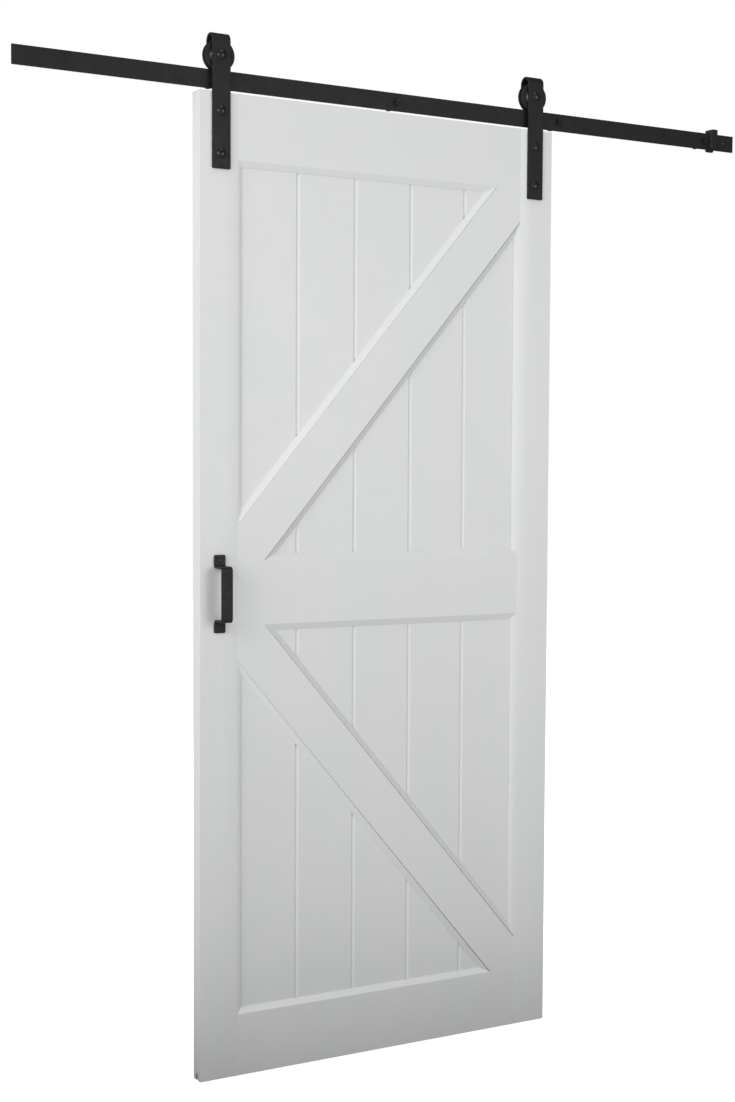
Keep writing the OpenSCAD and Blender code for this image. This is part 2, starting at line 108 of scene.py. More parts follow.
class Bench:
    """A material that is being put together, node by node."""

    def __init__(self, name: str) -> None:
        """Start an empty material with one Principled shader.

        Args:
            name: Name of the material.
        """
        self.material = bpy.data.materials.new(name)
        self.material.use_nodes = True
        self.tree = self.material.node_tree
        self.tree.nodes.clear()
        output = self.add("ShaderNodeOutputMaterial")
        self.shader = self.add("ShaderNodeBsdfPrincipled")
        self.tree.links.new(self.shader.outputs["BSDF"], output.inputs["Surface"])
        self.place = self.add("ShaderNodeTexCoord").outputs["Object"]

    def add(self, kind: str, **settings: Any) -> bpy.types.Node:
        """Add one node.

        Args:
            kind: Blender's name for the node type.
            **settings: Properties of the node, and values of its inputs by their names with
                underscores for spaces.

        Returns:
            The new node.
        """
        node = self.tree.nodes.new(kind)
        for key, value in settings.items():
            if hasattr(node, key):
                setattr(node, key, value)
            else:
                node.inputs[key.replace("_", " ")].default_value = value
        return node

    def stretched(self, scale: Sequence[float]) -> bpy.types.NodeSocket:
        """Return the piece's own coordinates, stretched by a factor along each axis.

        Args:
            scale: Factors along X, Y and Z.

        Returns:
            The stretched coordinates.
        """
        node = self.add("ShaderNodeMapping", vector_type="POINT", Scale=tuple(scale))
        self.tree.links.new(self.place, node.inputs["Vector"])
        return node.outputs["Vector"]

    def noise(self, scale: float, detail: float = 2.0, stretch: Sequence[float] = (1, 1, 1),
              distortion: float = 0.0) -> bpy.types.NodeSocket:
        """Return a noise pattern.

        Args:
            scale: Features for each metre.
            detail: Levels of finer noise on top.
            stretch: Factors that squeeze the pattern along X, Y and Z.
            distortion: How far the pattern is swirled.

        Returns:
            The noise, about 0.5 on average.
        """
        node = self.add("ShaderNodeTexNoise", Scale=scale, Detail=detail, Roughness=0.55,
                        Distortion=distortion)
        self.tree.links.new(self.stretched(stretch), node.inputs["Vector"])
        return node.outputs["Fac"]

    def spread(self, pattern: bpy.types.NodeSocket, low: float, high: float,
               start: float = 0.3, end: float = 0.7) -> bpy.types.NodeSocket:
        """Return a pattern mapped to the range low to high.

        Args:
            pattern: The pattern.
            low: Result where the pattern is at start.
            high: Result where the pattern is at end.
            start: Lower end of the pattern's range.
            end: Upper end of the pattern's range.

        Returns:
            The mapped pattern.
        """
        node = self.add("ShaderNodeMapRange", From_Min=start, From_Max=end, To_Min=low,
                        To_Max=high)
        self.tree.links.new(pattern, node.inputs["Value"])
        return node.outputs["Result"]

    def tint(self, amount: bpy.types.NodeSocket, first: "Colour | bpy.types.NodeSocket",
             second: "Colour") -> bpy.types.NodeSocket:
        """Return a colour between two colours.

        Args:
            amount: 0 for the first colour, 1 for the second.
            first: A colour, or the output of an earlier mix.
            second: The colour to go towards.

        Returns:
            The mixed colour.
        """
        node = self.add("ShaderNodeMix", data_type="RGBA")
        if isinstance(first, tuple):
            node.inputs[6].default_value = (*first, 1)
        else:
            self.tree.links.new(first, node.inputs[6])
        node.inputs[7].default_value = (*second, 1)
        self.tree.links.new(amount, node.inputs[0])
        return node.outputs[2]

    def rise(self, pattern: bpy.types.NodeSocket, height: float, strength: float = 1.0) -> None:
        """Raise the surface by a pattern, on top of what raises it already.

        Args:
            pattern: The pattern.
            height: Height of the pattern in metres.
            strength: Share of the effect that is used.
        """
        node = self.add("ShaderNodeBump", Distance=height, Strength=strength)
        self.tree.links.new(pattern, node.inputs["Height"])
        normal = self.shader.inputs["Normal"]
        if normal.is_linked:
            self.tree.links.new(normal.links[0].from_socket, node.inputs["Normal"])
        self.tree.links.new(node.outputs["Normal"], normal)

    def feed(self, name: str, value: Any) -> None:
        """Set an input of the shader to a number or to a node's output.

        Args:
            name: Name of the shader's input.
            value: A number, a colour, or an output socket.
        """
        socket = self.shader.inputs[name]
        if isinstance(value, bpy.types.NodeSocket):
            self.tree.links.new(value, socket)
        else:
            socket.default_value = value


Colour = tuple[float, float, float]


@dataclass(frozen=True)
class SatinPaint:
    """Sprayed satin paint on wood, with faint clouds and a fine orange peel."""

    colour: Colour = (0.80, 0.815, 0.805)
    cloud: Colour = (0.775, 0.795, 0.79)
    warm: Colour = (0.80, 0.795, 0.775)
    roughness: float = 0.46
    peel_height: float = 0.03 * MM
    fleck_height: float = 0.012 * MM

    def build(self) -> bpy.types.Material:
        """Return the finished material."""
        bench = Bench("satin_white_paint")
        clouds = bench.noise(2.6, 4.0, distortion=0.4)
        base = bench.tint(bench.spread(clouds, 0.0, 1.0), self.colour, self.cloud)
        patches = bench.noise(7.0, 3.0, stretch=(1, 1, 0.35))
        base = bench.tint(bench.spread(patches, 0.0, 0.55, 0.45, 0.8), base, self.warm)
        bench.feed("Base Color", base)
        sheen = bench.noise(34.0, 3.0)
        bench.feed("Roughness", bench.spread(sheen, self.roughness - 0.05,
                                             self.roughness + 0.06))
        bench.feed("IOR", 1.47)
        bench.rise(bench.noise(420.0, 2.0), self.peel_height, 0.55)
        bench.rise(bench.noise(2600.0, 1.0), self.fleck_height, 0.4)
        return bench.material


@dataclass(frozen=True)
class PowderCoat:
    """Matte black powder coat with a fine sand texture and slightly rubbed patches."""

    colour: Colour = (0.0100, 0.0096, 0.0106)
    rubbed: Colour = (0.0155, 0.0150, 0.0155)
    roughness: float = 0.52
    grain_height: float = 0.035 * MM

    def build(self) -> bpy.types.Material:
        """Return the finished material."""
        bench = Bench("black_powder_coat")
        patches = bench.noise(26.0, 4.0, distortion=0.6)
        base = bench.tint(bench.spread(patches, 0.0, 1.0), self.colour, self.rubbed)
        bench.feed("Base Color", base)
        bench.feed("Roughness", bench.spread(bench.noise(70.0, 3.0), self.roughness - 0.08,
                                             self.roughness + 0.09))
        bench.feed("IOR", 1.37)
        bench.rise(bench.noise(1500.0, 3.0), self.grain_height, 0.7)
        bench.rise(bench.noise(240.0, 2.0), self.grain_height * 2, 0.35)
        return bench.material


@dataclass(frozen=True)
class BlackOxide:
    """Black bolt finish, smoother than powder coat, with oil stains and faint wear."""

    colour: Colour = (0.006, 0.006, 0.0065)
    stain: Colour = (0.012, 0.0115, 0.012)
    roughness: float = 0.20

    def build(self) -> bpy.types.Material:
        """Return the finished material."""
        bench = Bench("black_oxide")
        stains = bench.noise(180.0, 4.0, distortion=0.5)
        bench.feed("Base Color", bench.tint(bench.spread(stains, 0.0, 1.0), self.colour,
                                            self.stain))
        bench.feed("Roughness", bench.spread(bench.noise(420.0, 3.0), self.roughness - 0.06,
                                             self.roughness + 0.1))
        bench.feed("IOR", 1.45)
        bench.rise(bench.noise(700.0, 3.0), 0.03 * MM, 0.5)
        return bench.material


@dataclass(frozen=True)
class ZincPlate:
    """Bright zinc plating with a cool bloom and fine turning marks."""

    colour: Colour = (0.60, 0.61, 0.62)
    bloom: Colour = (0.50, 0.53, 0.58)
    yellow: Colour = (0.62, 0.59, 0.50)
    roughness: float = 0.3

    def build(self) -> bpy.types.Material:
        """Return the finished material."""
        bench = Bench("bright_zinc")
        base = bench.tint(bench.spread(bench.noise(90.0, 3.0), 0.0, 1.0), self.colour, self.bloom)
        base = bench.tint(bench.spread(bench.noise(160.0, 2.0), 0.0, 0.5, 0.5, 0.8), base,
                          self.yellow)
        bench.feed("Base Color", base)
        bench.feed("Metallic", 1.0)
        bench.feed("Roughness", bench.spread(bench.noise(300.0, 3.0), self.roughness - 0.07,
                                             self.roughness + 0.12))
        bench.rise(bench.noise(900.0, 2.0, stretch=(1, 4, 1)), 0.012 * MM, 0.6)
        return bench.material


@dataclass(frozen=True)
class MouldedRubber:
    """Black moulded rubber with a dull bloom and a fine pebbled skin."""

    colour: Colour = (0.011, 0.011, 0.0105)
    bloom: Colour = (0.024, 0.024, 0.023)
    roughness: float = 0.72

    def build(self) -> bpy.types.Material:
        """Return the finished material."""
        bench = Bench("moulded_rubber")
        bloom = bench.noise(110.0, 4.0)
        bench.feed("Base Color", bench.tint(bench.spread(bloom, 0.0, 0.8), self.colour,
                                            self.bloom))
        bench.feed("Roughness", bench.spread(bench.noise(200.0, 2.0), self.roughness - 0.06,
                                             self.roughness + 0.1))
        bench.rise(bench.noise(2400.0, 2.0), 0.03 * MM, 0.6)
        return bench.material


@dataclass(frozen=True)
class BareWood:
    """Unpainted softwood whose grain runs along X, with darker growth rings."""

    early: Colour = (0.50, 0.36, 0.22)
    late: Colour = (0.27, 0.165, 0.09)
    roughness: float = 0.68

    def build(self) -> bpy.types.Material:
        """Return the finished material."""
        bench = Bench("bare_softwood")
        rings = bench.noise(150.0, 3.0, stretch=(0.05, 1, 1), distortion=0.8)
        base = bench.tint(bench.spread(rings, 0.0, 1.0, 0.35, 0.7), self.early, self.late)
        fibres = bench.noise(900.0, 2.0, stretch=(0.03, 1, 1))
        base = bench.tint(bench.spread(fibres, 0.0, 0.4, 0.5, 0.8), base, self.late)
        bench.feed("Base Color", base)
        bench.feed("Roughness", bench.spread(fibres, self.roughness - 0.08,
                                             self.roughness + 0.1))
        bench.rise(fibres, 0.05 * MM, 0.6)
        return bench.material


@dataclass(frozen=True)
class StudioFloor:
    """Pale seamless floor with the faintest mottling."""

    colour: Colour = (0.93, 0.93, 0.93)
    shade: Colour = (0.91, 0.91, 0.912)
    glow: float = 0.9

    def build(self) -> bpy.types.Material:
        """Return the finished material."""
        bench = Bench("studio_floor")
        mottling = bench.spread(bench.noise(1.5, 3.0), 0.0, 1.0)
        bench.feed("Base Color", bench.tint(mottling, self.colour, self.shade))
        bench.feed("Roughness", 0.9)
        bench.feed("Emission Color", (1, 1, 1, 1))
        bench.feed("Emission Strength", self.glow)
        bench.material.cycles.emission_sampling = "NONE"
        return bench.material


class FinishRack:
    """The finished materials of the object."""

    def __init__(self) -> None:
        """Make every finish."""
        self.materials: dict[Finish, bpy.types.Material] = {
            Finish.PAINT: SatinPaint().build(),
            Finish.WOOD: BareWood().build(),
            Finish.POWDER: PowderCoat().build(),
            Finish.OXIDE: BlackOxide().build(),
            Finish.ZINC: ZincPlate().build(),
            Finish.RUBBER: MouldedRubber().build(),
        }

    def __getitem__(self, finish: Finish) -> bpy.types.Material:
        """Return the material of a finish."""
        return self.materials[finish]


# ---------------------------------------------------------------- geometry node trees


class Field:
    """One value in a Geometry Nodes tree, which can be used in sums like a number."""

    def __init__(self, tree: "Tree", socket: bpy.types.NodeSocket) -> None:
        """Hold an output socket.

        Args:
            tree: The tree that the socket is in.
            socket: The output socket.
        """
        self.tree = tree
        self.socket = socket

    def _sum(self, operation: str, first: Any, second: Any) -> "Field":
        """Return the result of a math node with two inputs."""
        return self.tree.node("ShaderNodeMath", 0, {0: first, 1: second}, operation=operation)

    def __add__(self, other: Any) -> "Field":
        """Return the sum."""
        return self._sum("ADD", self, other)

    def __sub__(self, other: Any) -> "Field":
        """Return the difference."""
        return self._sum("SUBTRACT", self, other)

    def __rsub__(self, other: Any) -> "Field":
        """Return the difference, taken from the other value."""
        return self._sum("SUBTRACT", other, self)

    def __mul__(self, other: Any) -> "Field":
        """Return the product."""
        return self._sum("MULTIPLY", self, other)

    def __truediv__(self, other: Any) -> "Field":
        """Return the quotient."""
        return self._sum("DIVIDE", self, other)

    def __mod__(self, other: Any) -> "Field":
        """Return the remainder, which is never negative."""
        return self._sum("FLOORED_MODULO", self, other)

    def floor(self) -> "Field":
        """Return the whole part."""
        return self._sum("FLOOR", self, 0.0)

    def equals(self, other: Any) -> "Field":
        """Return 1 where both values are the same within a half, and 0 elsewhere."""
        return self.tree.node("ShaderNodeMath", 0, {0: self, 1: other, 2: 0.4},
                              operation="COMPARE")


Input = Union[Field, float, int, Sequence[float]]


class Tree:
    """A Geometry Nodes tree that is being put together."""

    def __init__(self, name: str) -> None:
        """Start an empty tree with a geometry input and output.

        Args:
            name: Name of the tree.
        """
        self.group = bpy.data.node_groups.new(name, "GeometryNodeTree")
        face = self.group.interface
        face.new_socket("Geometry", in_out="OUTPUT", socket_type="NodeSocketGeometry")
        face.new_socket("Geometry", in_out="INPUT", socket_type="NodeSocketGeometry")
        self.entry = self.group.nodes.new("NodeGroupInput")
        self.exit = self.group.nodes.new("NodeGroupOutput")
        self.piece = Field(self, self.entry.outputs["Geometry"])

    def size(self, name: str, kind: str = "Float") -> Field:
        """Add a named input to the tree.

        Args:
            name: Name of the input.
            kind: Float, Int, Vector or Material.

        Returns:
            The input's value.
        """
        self.group.interface.new_socket(name, in_out="INPUT", socket_type="NodeSocket" + kind)
        return Field(self, self.entry.outputs[name])

    def node(self, kind: str, output: Union[int, str], inputs: dict[Any, Any],
             **settings: Any) -> Field:
        """Add one node.

        Args:
            kind: Blender's name for the node type.
            output: Name or number of the output that is wanted.
            inputs: What goes into the node's inputs, by their names or numbers.
            **settings: Properties of the node.

        Returns:
            The wanted output.
        """
        node = self.group.nodes.new(kind)
        for key, value in settings.items():
            setattr(node, key, value)
        for key, value in inputs.items():
            if isinstance(value, Field):
                self.group.links.new(value.socket, node.inputs[key])
            else:
                node.inputs[key].default_value = value
        return Field(self, node.outputs[output])

    def point(self, x: Input, y: Input, z: Input) -> Field:
        """Return the vector (x, y, z)."""
        return self.node("ShaderNodeCombineXYZ", 0, {0: x, 1: y, 2: z})

    def joined(self, *parts: Field) -> Field:
        """Return one geometry that holds all the parts."""
        node = self.group.nodes.new("GeometryNodeJoinGeometry")
        for part in reversed(parts):
            self.group.links.new(part.socket, node.inputs[0])
        return Field(self, node.outputs[0])

    def close(self, geometry: Field, finish: Field) -> bpy.types.GeometryNodeTree:
        """End the tree: make instances real, set the material and return the tree.

        Args:
            geometry: What the tree has made.
            finish: The material input.

        Returns:
            The finished tree.
        """
        real = self.node("GeometryNodeRealizeInstances", 0, {0: geometry})
        dressed = self.node("GeometryNodeSetMaterial", 0, {"Geometry": real, "Material": finish})
        self.group.links.new(dressed.socket, self.exit.inputs[0])
        return self.group


class Trees:
    """The Geometry Nodes trees that more than one sub-assembly uses."""

    def __init__(self) -> None:
        """Make the trees."""
        self.rows = self._rows()
        self.thread = self._thread()
        self.planks = self._planks()

    @staticmethod
    def _rows() -> bpy.types.GeometryNodeTree:
        """Return a tree that repeats a piece in rows and columns, each turned a little.

        The piece's axis is +Y and its seat is at the origin.
        """
        tree = Tree("repeated_in_rows")
        columns, rows = tree.size("Columns", "Int"), tree.size("Rows", "Int")
        across, up = tree.size("Column pitch"), tree.size("Row pitch")
        first, turn = tree.size("First place", "Vector"), tree.size("Most turn")
        finish = tree.size("Finish", "Material")
        number = tree.node("GeometryNodeInputIndex", 0, {})
        shift = tree.point((number % columns) * across, 0.0, (number / columns).floor() * up)
        place = tree.node("ShaderNodeVectorMath", 0, {0: first, 1: shift}, operation="ADD")
        points = tree.node("GeometryNodePoints", 0, {"Count": columns * rows, "Position": place})
        angle = tree.node("FunctionNodeRandomValue", 1, {"Min": 0.0, 3: turn, "Seed": 7},
                          data_type="FLOAT")
        turned = tree.node("FunctionNodeEulerToRotation", 0, {0: tree.point(0.0, angle, 0.0)})
        copies = tree.node("GeometryNodeInstanceOnPoints", 0,
                           {"Points": points, "Instance": tree.piece, "Rotation": turned})
        return tree.close(copies, finish)

    @staticmethod
    def _thread() -> bpy.types.GeometryNodeTree:
        """Return a tree that winds a screw thread round the +Y axis of a piece."""
        tree = Tree("wound_thread")
        core, pitch = tree.size("Core radius"), tree.size("Pitch")
        start, length = tree.size("Start"), tree.size("Length")
        ridge, finish = tree.size("Ridge radius"), tree.size("Finish", "Material")
        helix = tree.node("GeometryNodeCurveSpiral", 0, {
            "Resolution": 20, "Rotations": length / pitch, "Start Radius": core,
            "End Radius": core, "Height": length})
        helix = tree.node("GeometryNodeSetCurveNormal", 0, {"Curve": helix}, mode="Z_UP")
        section = tree.node("GeometryNodeCurvePrimitiveCircle", 0,
                            {"Resolution": 4, "Radius": ridge}, mode="RADIUS")
        wound = tree.node("GeometryNodeCurveToMesh", 0,
                          {"Curve": helix, "Profile Curve": section, "Fill Caps": True})
        laid = tree.node("GeometryNodeTransform", 0, {
            "Geometry": wound, "Translation": tree.point(0.0, start, 0.0),
            "Rotation": (-math.pi / 2, 0.0, 0.0)})
        return tree.close(tree.joined(tree.piece, laid), finish)

    @staticmethod
    def _planks() -> bpy.types.GeometryNodeTree:
        """Return a tree that makes an upright panel with V joints between its planks.

        The outline of the panel, seen from above, runs along the front from left to right
        and then along the back from right to left. A plank joint has three points: its two
        edges and the bottom between them.
        """
        tree = Tree("planked_panel")
        joints, pitch = tree.size("Joints", "Int"), tree.size("Plank width")
        gap, depth = tree.size("Joint width"), tree.size("Joint depth")
        width, height = tree.size("Panel width"), tree.size("Panel height")
        thick, soft = tree.size("Panel thickness"), tree.size("Edge softness")
        centre, finish = tree.size("Foot centre", "Vector"), tree.size("Finish", "Material")
        side = joints * 3.0 + 2.0
        number = tree.node("GeometryNodeInputIndex", 0, {})
        back = (number / side).floor()
        step = number - back * side
        joint, part = ((step - 1.0) / 3.0).floor(), (step - 1.0) % 3.0
        x = (joint - (joints - 1.0) / 2.0) * pitch + (part - 1.0) * gap / 2.0
        left_end, right_end = step.equals(0.0), step.equals(side - 1.0)
        x = x + (x * -1.0 - width / 2.0) * left_end + (width / 2.0 - x) * right_end
        bottom = part.equals(1.0) * (1.0 - left_end - right_end)
        y = bottom * depth - thick / 2.0
        way = back * -2.0 + 1.0
        line = tree.node("GeometryNodeMeshLine", 0, {"Count": side * 2.0},
                         count_mode="TOTAL", mode="OFFSET")
        line = tree.node("GeometryNodeSetPosition", 0,
                         {"Geometry": line, "Position": tree.point(x * way, y * way, 0.0)})
        outline = tree.node("GeometryNodeMeshToCurve", 0, {0: line})
        outline = tree.node("GeometryNodeSetSplineCyclic", 0, {"Geometry": outline,
                                                               "Cyclic": True})
        outline = tree.node("GeometryNodeFilletCurve", 0, {
            "Curve": outline, "Count": 3, "Radius": soft, "Limit Radius": True}, mode="POLY")
        foot = tree.node("GeometryNodeFillCurve", 0, {"Curve": outline}, mode="NGONS")
        body = tree.node("GeometryNodeExtrudeMesh", 0, {
            "Mesh": foot, "Offset": tree.point(0.0, 0.0, height), "Individual": False},
            mode="FACES")
        base = tree.node("GeometryNodeFlipFaces", 0, {"Mesh": foot})
        closed = tree.node("GeometryNodeMergeByDistance", 0,
                           {"Geometry": tree.joined(body, base), "Distance": WELD})
        placed = tree.node("GeometryNodeTransform", 0, {"Geometry": closed,
                                                        "Translation": centre})
        return tree.close(placed, finish)


# ---------------------------------------------------------------- workshop


class Ring(NamedTuple):
    """One ring of a turned piece.

    Args:
        radius: Radius of the ring.
        along: Its place along the axis.
        flats: Width across the flats of the hexagon that cuts the ring, or 0 for none.
    """

    radius: float
    along: float
    flats: float = 0.0

    def reach(self, angle: float) -> float:
        """Return the ring's radius in one direction."""
        if not self.flats:
            return self.radius
        sector = math.pi / 3
        return min(self.radius, self.flats / 2 / math.cos(angle % sector - sector / 2))


class EasedEdges(NamedTuple):
    """A set of edges that are rounded off together.

    Args:
        width: Distance from the old edge to where the rounding starts.
        least: Smallest angle that the surface turns at such an edge, in degrees.
        most: Largest such angle, in degrees.
        chosen: A further test of an edge, given its two end points.
    """

    width: float
    least: float = 40.0
    most: float = 110.0
    chosen: Callable[[Vector, Vector], bool] = lambda a, b: True


def clear_of(holes: Sequence[tuple[float, float]],
             reach: float) -> Callable[[Vector, Vector], bool]:
    """Return a test that is True for an edge that isn't on the rim of a hole along +Y.

    Args:
        holes: X and Z of each hole's axis.
        reach: Distance from an axis within which an edge counts as a rim.
    """
    return lambda a, b: all(math.hypot(a.x - x, a.z - z) > reach for x, z in holes)


def softened(points: Sequence[Ring], width: float, steps: int = 3) -> list[Ring]:
    """Round the corners of a turned outline.

    Args:
        points: The outline, from one end to the other; round rings only.
        width: Length that each corner takes from both of its sides, at most.
        steps: Pieces in each rounding.

    Returns:
        The outline with each inner corner replaced by a short curve.
    """
    result = [points[0]]
    for before, corner, after in zip(points, points[1:], points[2:]):
        a, b, c = (Vector((p.radius, p.along)) for p in (before, corner, after))
        first, second = a - b, c - b
        take = min(width, first.length * 0.45, second.length * 0.45)
        if corner.flats or first.angle(second) > math.radians(170) or take < WELD:
            result.append(corner)
            continue
        start, end = b + first.normalized() * take, b + second.normalized() * take
        for i in range(steps + 1):
            t = i / steps
            place = start * (1 - t) ** 2 + b * 2 * t * (1 - t) + end * t ** 2
            result.append(Ring(place.x, place.y))
    return result + [points[-1]]


def turned(rings: Sequence[Ring], hollow: bool = False, segments: int = 48) -> bpy.types.Mesh:
    """Make a piece that is turned about the +Y axis through the origin.

    Args:
        rings: Its rings in order. A solid piece starts and ends with a radius of 0.
        hollow: True for a piece with a bore, whose last ring joins its first.
        segments: Sides of the piece.

    Returns:
        A closed mesh whose faces point outwards.
    """
    bm = bmesh.new()
    rows: list[list[bmesh.types.BMVert]] = []
    for ring in rings:
        if ring.radius < 1e-9:
            rows.append([bm.verts.new((0, ring.along, 0))])
            continue
        angles = [2 * math.pi * i / segments for i in range(segments)]
        rows.append([bm.verts.new((ring.reach(a) * math.cos(a), ring.along,
                                   ring.reach(a) * math.sin(a))) for a in angles])
    pairs = list(zip(rows, rows[1:])) + ([(rows[-1], rows[0])] if hollow else [])
    for low, high in pairs:
        for i in range(segments):
            j = (i + 1) % segments
            corners = [low[i % len(low)], low[j % len(low)], high[j % len(high)],
                       high[i % len(high)]]
            bm.faces.new(list(dict.fromkeys(corners)))
    bmesh.ops.recalc_face_normals(bm, faces=bm.faces)
    mesh = bpy.data.meshes.new("turned")
    bm.to_mesh(mesh)
    bm.free()
    return mesh


def joined(meshes: Sequence[bpy.types.Mesh]) -> bpy.types.Mesh:
    """Return one mesh that holds all the given ones, which are used up."""
    bm = bmesh.new()
    for mesh in meshes:
        bm.from_mesh(mesh)
        bpy.data.meshes.remove(mesh)
    result = bpy.data.meshes.new("joined")
    bm.to_mesh(result)
    bm.free()
    return result


def eased_copy(node: str, easings: Sequence[EasedEdges],
               nudge: Callable[[Vector], Vector] = lambda p: p) -> bpy.types.Mesh:
    """Copy a CAD node, weld its triangles into whole faces and round off its edges.

    Args:
        node: Name of the CAD node.
        easings: Sets of edges to round off, in order.
        nudge: Gives each point's place before the edges are rounded.

    Returns:
        The eased mesh.
    """
    bm = bmesh.new()
    bm.from_mesh(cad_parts[node].data)
    bmesh.ops.remove_doubles(bm, verts=bm.verts, dist=WELD)
    bmesh.ops.dissolve_limit(bm, angle_limit=math.radians(0.3), verts=bm.verts, edges=bm.edges,
                             delimit={"NORMAL"})
    for vert in bm.verts:
        vert.co = nudge(vert.co.copy())
    for easing in easings:
        edges = [e for e in bm.edges if e.is_manifold
                 and easing.least < math.degrees(e.calc_face_angle(0)) < easing.most
                 and e.is_convex and easing.chosen(e.verts[0].co, e.verts[1].co)]
        bmesh.ops.bevel(bm, geom=edges, offset=easing.width, offset_type="OFFSET", segments=3,
                        profile=0.5, affect="EDGES", clamp_overlap=True)
    bmesh.ops.remove_doubles(bm, verts=bm.verts, dist=WELD)
    bmesh.ops.dissolve_degenerate(bm, dist=WELD, edges=bm.edges)
    mesh = bpy.data.meshes.new(node)
    bm.to_mesh(mesh)
    bm.free()
    return mesh


def evaluated(mesh: bpy.types.Mesh, name: str,
              add: Callable[[bpy.types.Object], None]) -> bpy.types.Mesh:
    """Run modifiers on a mesh and return the plain result.

    Args:
        mesh: The mesh, which is used up.
        name: Name of the result.
        add: Adds the modifiers to the object that it is given.

    Returns:
        A mesh with the modifiers applied.
    """
    holder = bpy.data.objects.new(name + "_holder", mesh)
    bpy.context.scene.collection.objects.link(holder)
    add(holder)
    graph = bpy.context.evaluated_depsgraph_get()
    result = bpy.data.meshes.new_from_object(holder.evaluated_get(graph), depsgraph=graph)
    bpy.data.objects.remove(holder)
    bpy.data.meshes.remove(mesh)
    result.name = name
    return result


def run_tree(mesh: bpy.types.Mesh, name: str, tree: bpy.types.GeometryNodeTree,
             **values: Any) -> bpy.types.Mesh:
    """Run a Geometry Nodes tree on a mesh.

    Args:
        mesh: The mesh, which is used up.
        name: Name of the result.
        tree: The tree.
        **values: Values of the tree's inputs, by their names with underscores for spaces.

    Returns:
        The tree's result as a plain mesh.
    """
    def add(holder: bpy.types.Object) -> None:
        """Add the tree to an object and set its inputs."""
        modifier = holder.modifiers.new("tree", "NODES")
        modifier.node_group = tree
        for item in tree.interface.items_tree:
            if item.in_out == "INPUT" and item.name.replace(" ", "_") in values:
                modifier[item.identifier] = values[item.name.replace(" ", "_")]
    return evaluated(mesh, name, add)


class Workshop:
    """Finishes meshes and hangs them on their bodies."""

    def __init__(self, finishes: FinishRack, trees: Trees) -> None:
        """Keep the finishes and the trees.

        Args:
            finishes: The object's finishes.
            trees: The object's Geometry Nodes trees.
        """
        self.finishes = finishes
        self.trees = trees

    def fit(self, name: str, mesh: bpy.types.Mesh, body: Body, finish: Finish,
            stands_for: Sequence[str], also: Sequence[Finish] = ()) -> None:
        """Shade a mesh, make it a piece and hang it on its body.

        Args:
            name: Name of the piece.
            mesh: Its mesh, which is used up.
            body: The body that it rides on.
            finish: Its finish.
            stands_for: The CAD nodes that it stands for.
            also: Further finishes, for faces with a material number above 0.
        """
        mesh.shade_smooth()
        mesh.set_sharp_from_angle(angle=SHARP_FROM)
        shaded = evaluated(mesh, name, lambda holder: setattr(
            holder.modifiers.new("shading", "WEIGHTED_NORMAL"), "keep_sharp", True))
        numbers = [face.material_index if also else 0 for face in shaded.polygons]
        shaded.materials.clear()
        for one in (finish, *also):
            shaded.materials.append(self.finishes[one])
        shaded.polygons.foreach_set("material_index", numbers)
        piece = bpy.data.objects.new(name, shaded)
        bpy.context.scene.collection.objects.link(piece)
        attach(piece, body.value)
        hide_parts(*stands_for)
        log.info("%s: %d faces on %s", name, len(shaded.polygons), body.value)

    def threaded(self, mesh: bpy.types.Mesh, core: float, ridge: float, pitch: float,
                 start: float, length: float, finish: Finish) -> bpy.types.Mesh:
        """Return a turned piece with a thread wound round it.

        Args:
            mesh: The piece, which is used up.
            core: Radius at the root of the thread.
            ridge: Height of the thread above its root.
            pitch: Distance from one turn to the next.
            start: Where the thread starts along the axis.
            length: Length of the thread.
            finish: Its finish.
        """
        return run_tree(mesh, "threaded", self.trees.thread, Core_radius=core, Pitch=pitch,
                        Start=start, Length=length, Ridge_radius=ridge,
                        Finish=self.finishes[finish])

    def rows(self, mesh: bpy.types.Mesh, first: Vector, columns: int, across: float, rows: int,
             up: float, finish: Finish, turn: float = 0.0) -> bpy.types.Mesh:
        """Return a piece repeated in rows and columns.

        Args:
            mesh: The piece about the origin, which is used up.
            first: Place of the lowest copy on the left.
            columns: Number of columns.
            across: Distance between columns.
            rows: Number of rows.
            up: Distance between rows.
            finish: Its finish.
            turn: Largest angle that a copy is turned by about its axis.
        """
        return run_tree(mesh, "rows", self.trees.rows, Columns=columns, Rows=rows,
                        Column_pitch=across, Row_pitch=up, First_place=list(first),
                        Most_turn=turn, Finish=self.finishes[finish])

    def fit_rows(self, name: str, mesh: bpy.types.Mesh, first: Vector,
                 layout: tuple[int, float, int, float], body: Body, finish: Finish, node: str,
                 turn: float = 0.0) -> None:
        """Repeat a piece in rows and columns and hang the result on its body.

        Args:
            name: Name of the result.
            mesh: The piece about the origin, which is used up.
            first: Place of the lowest copy on the left.
            layout: Columns, the distance between them, rows, and the distance between them.
            body: The body that it rides on.
            finish: Its finish.
            node: The CAD node that it stands for.
            turn: Largest angle that a copy is turned by about its axis.
        """
        self.fit(name, self.rows(mesh, first, *layout, finish, turn), body, finish, [node])


# ---------------------------------------------------------------- fasteners


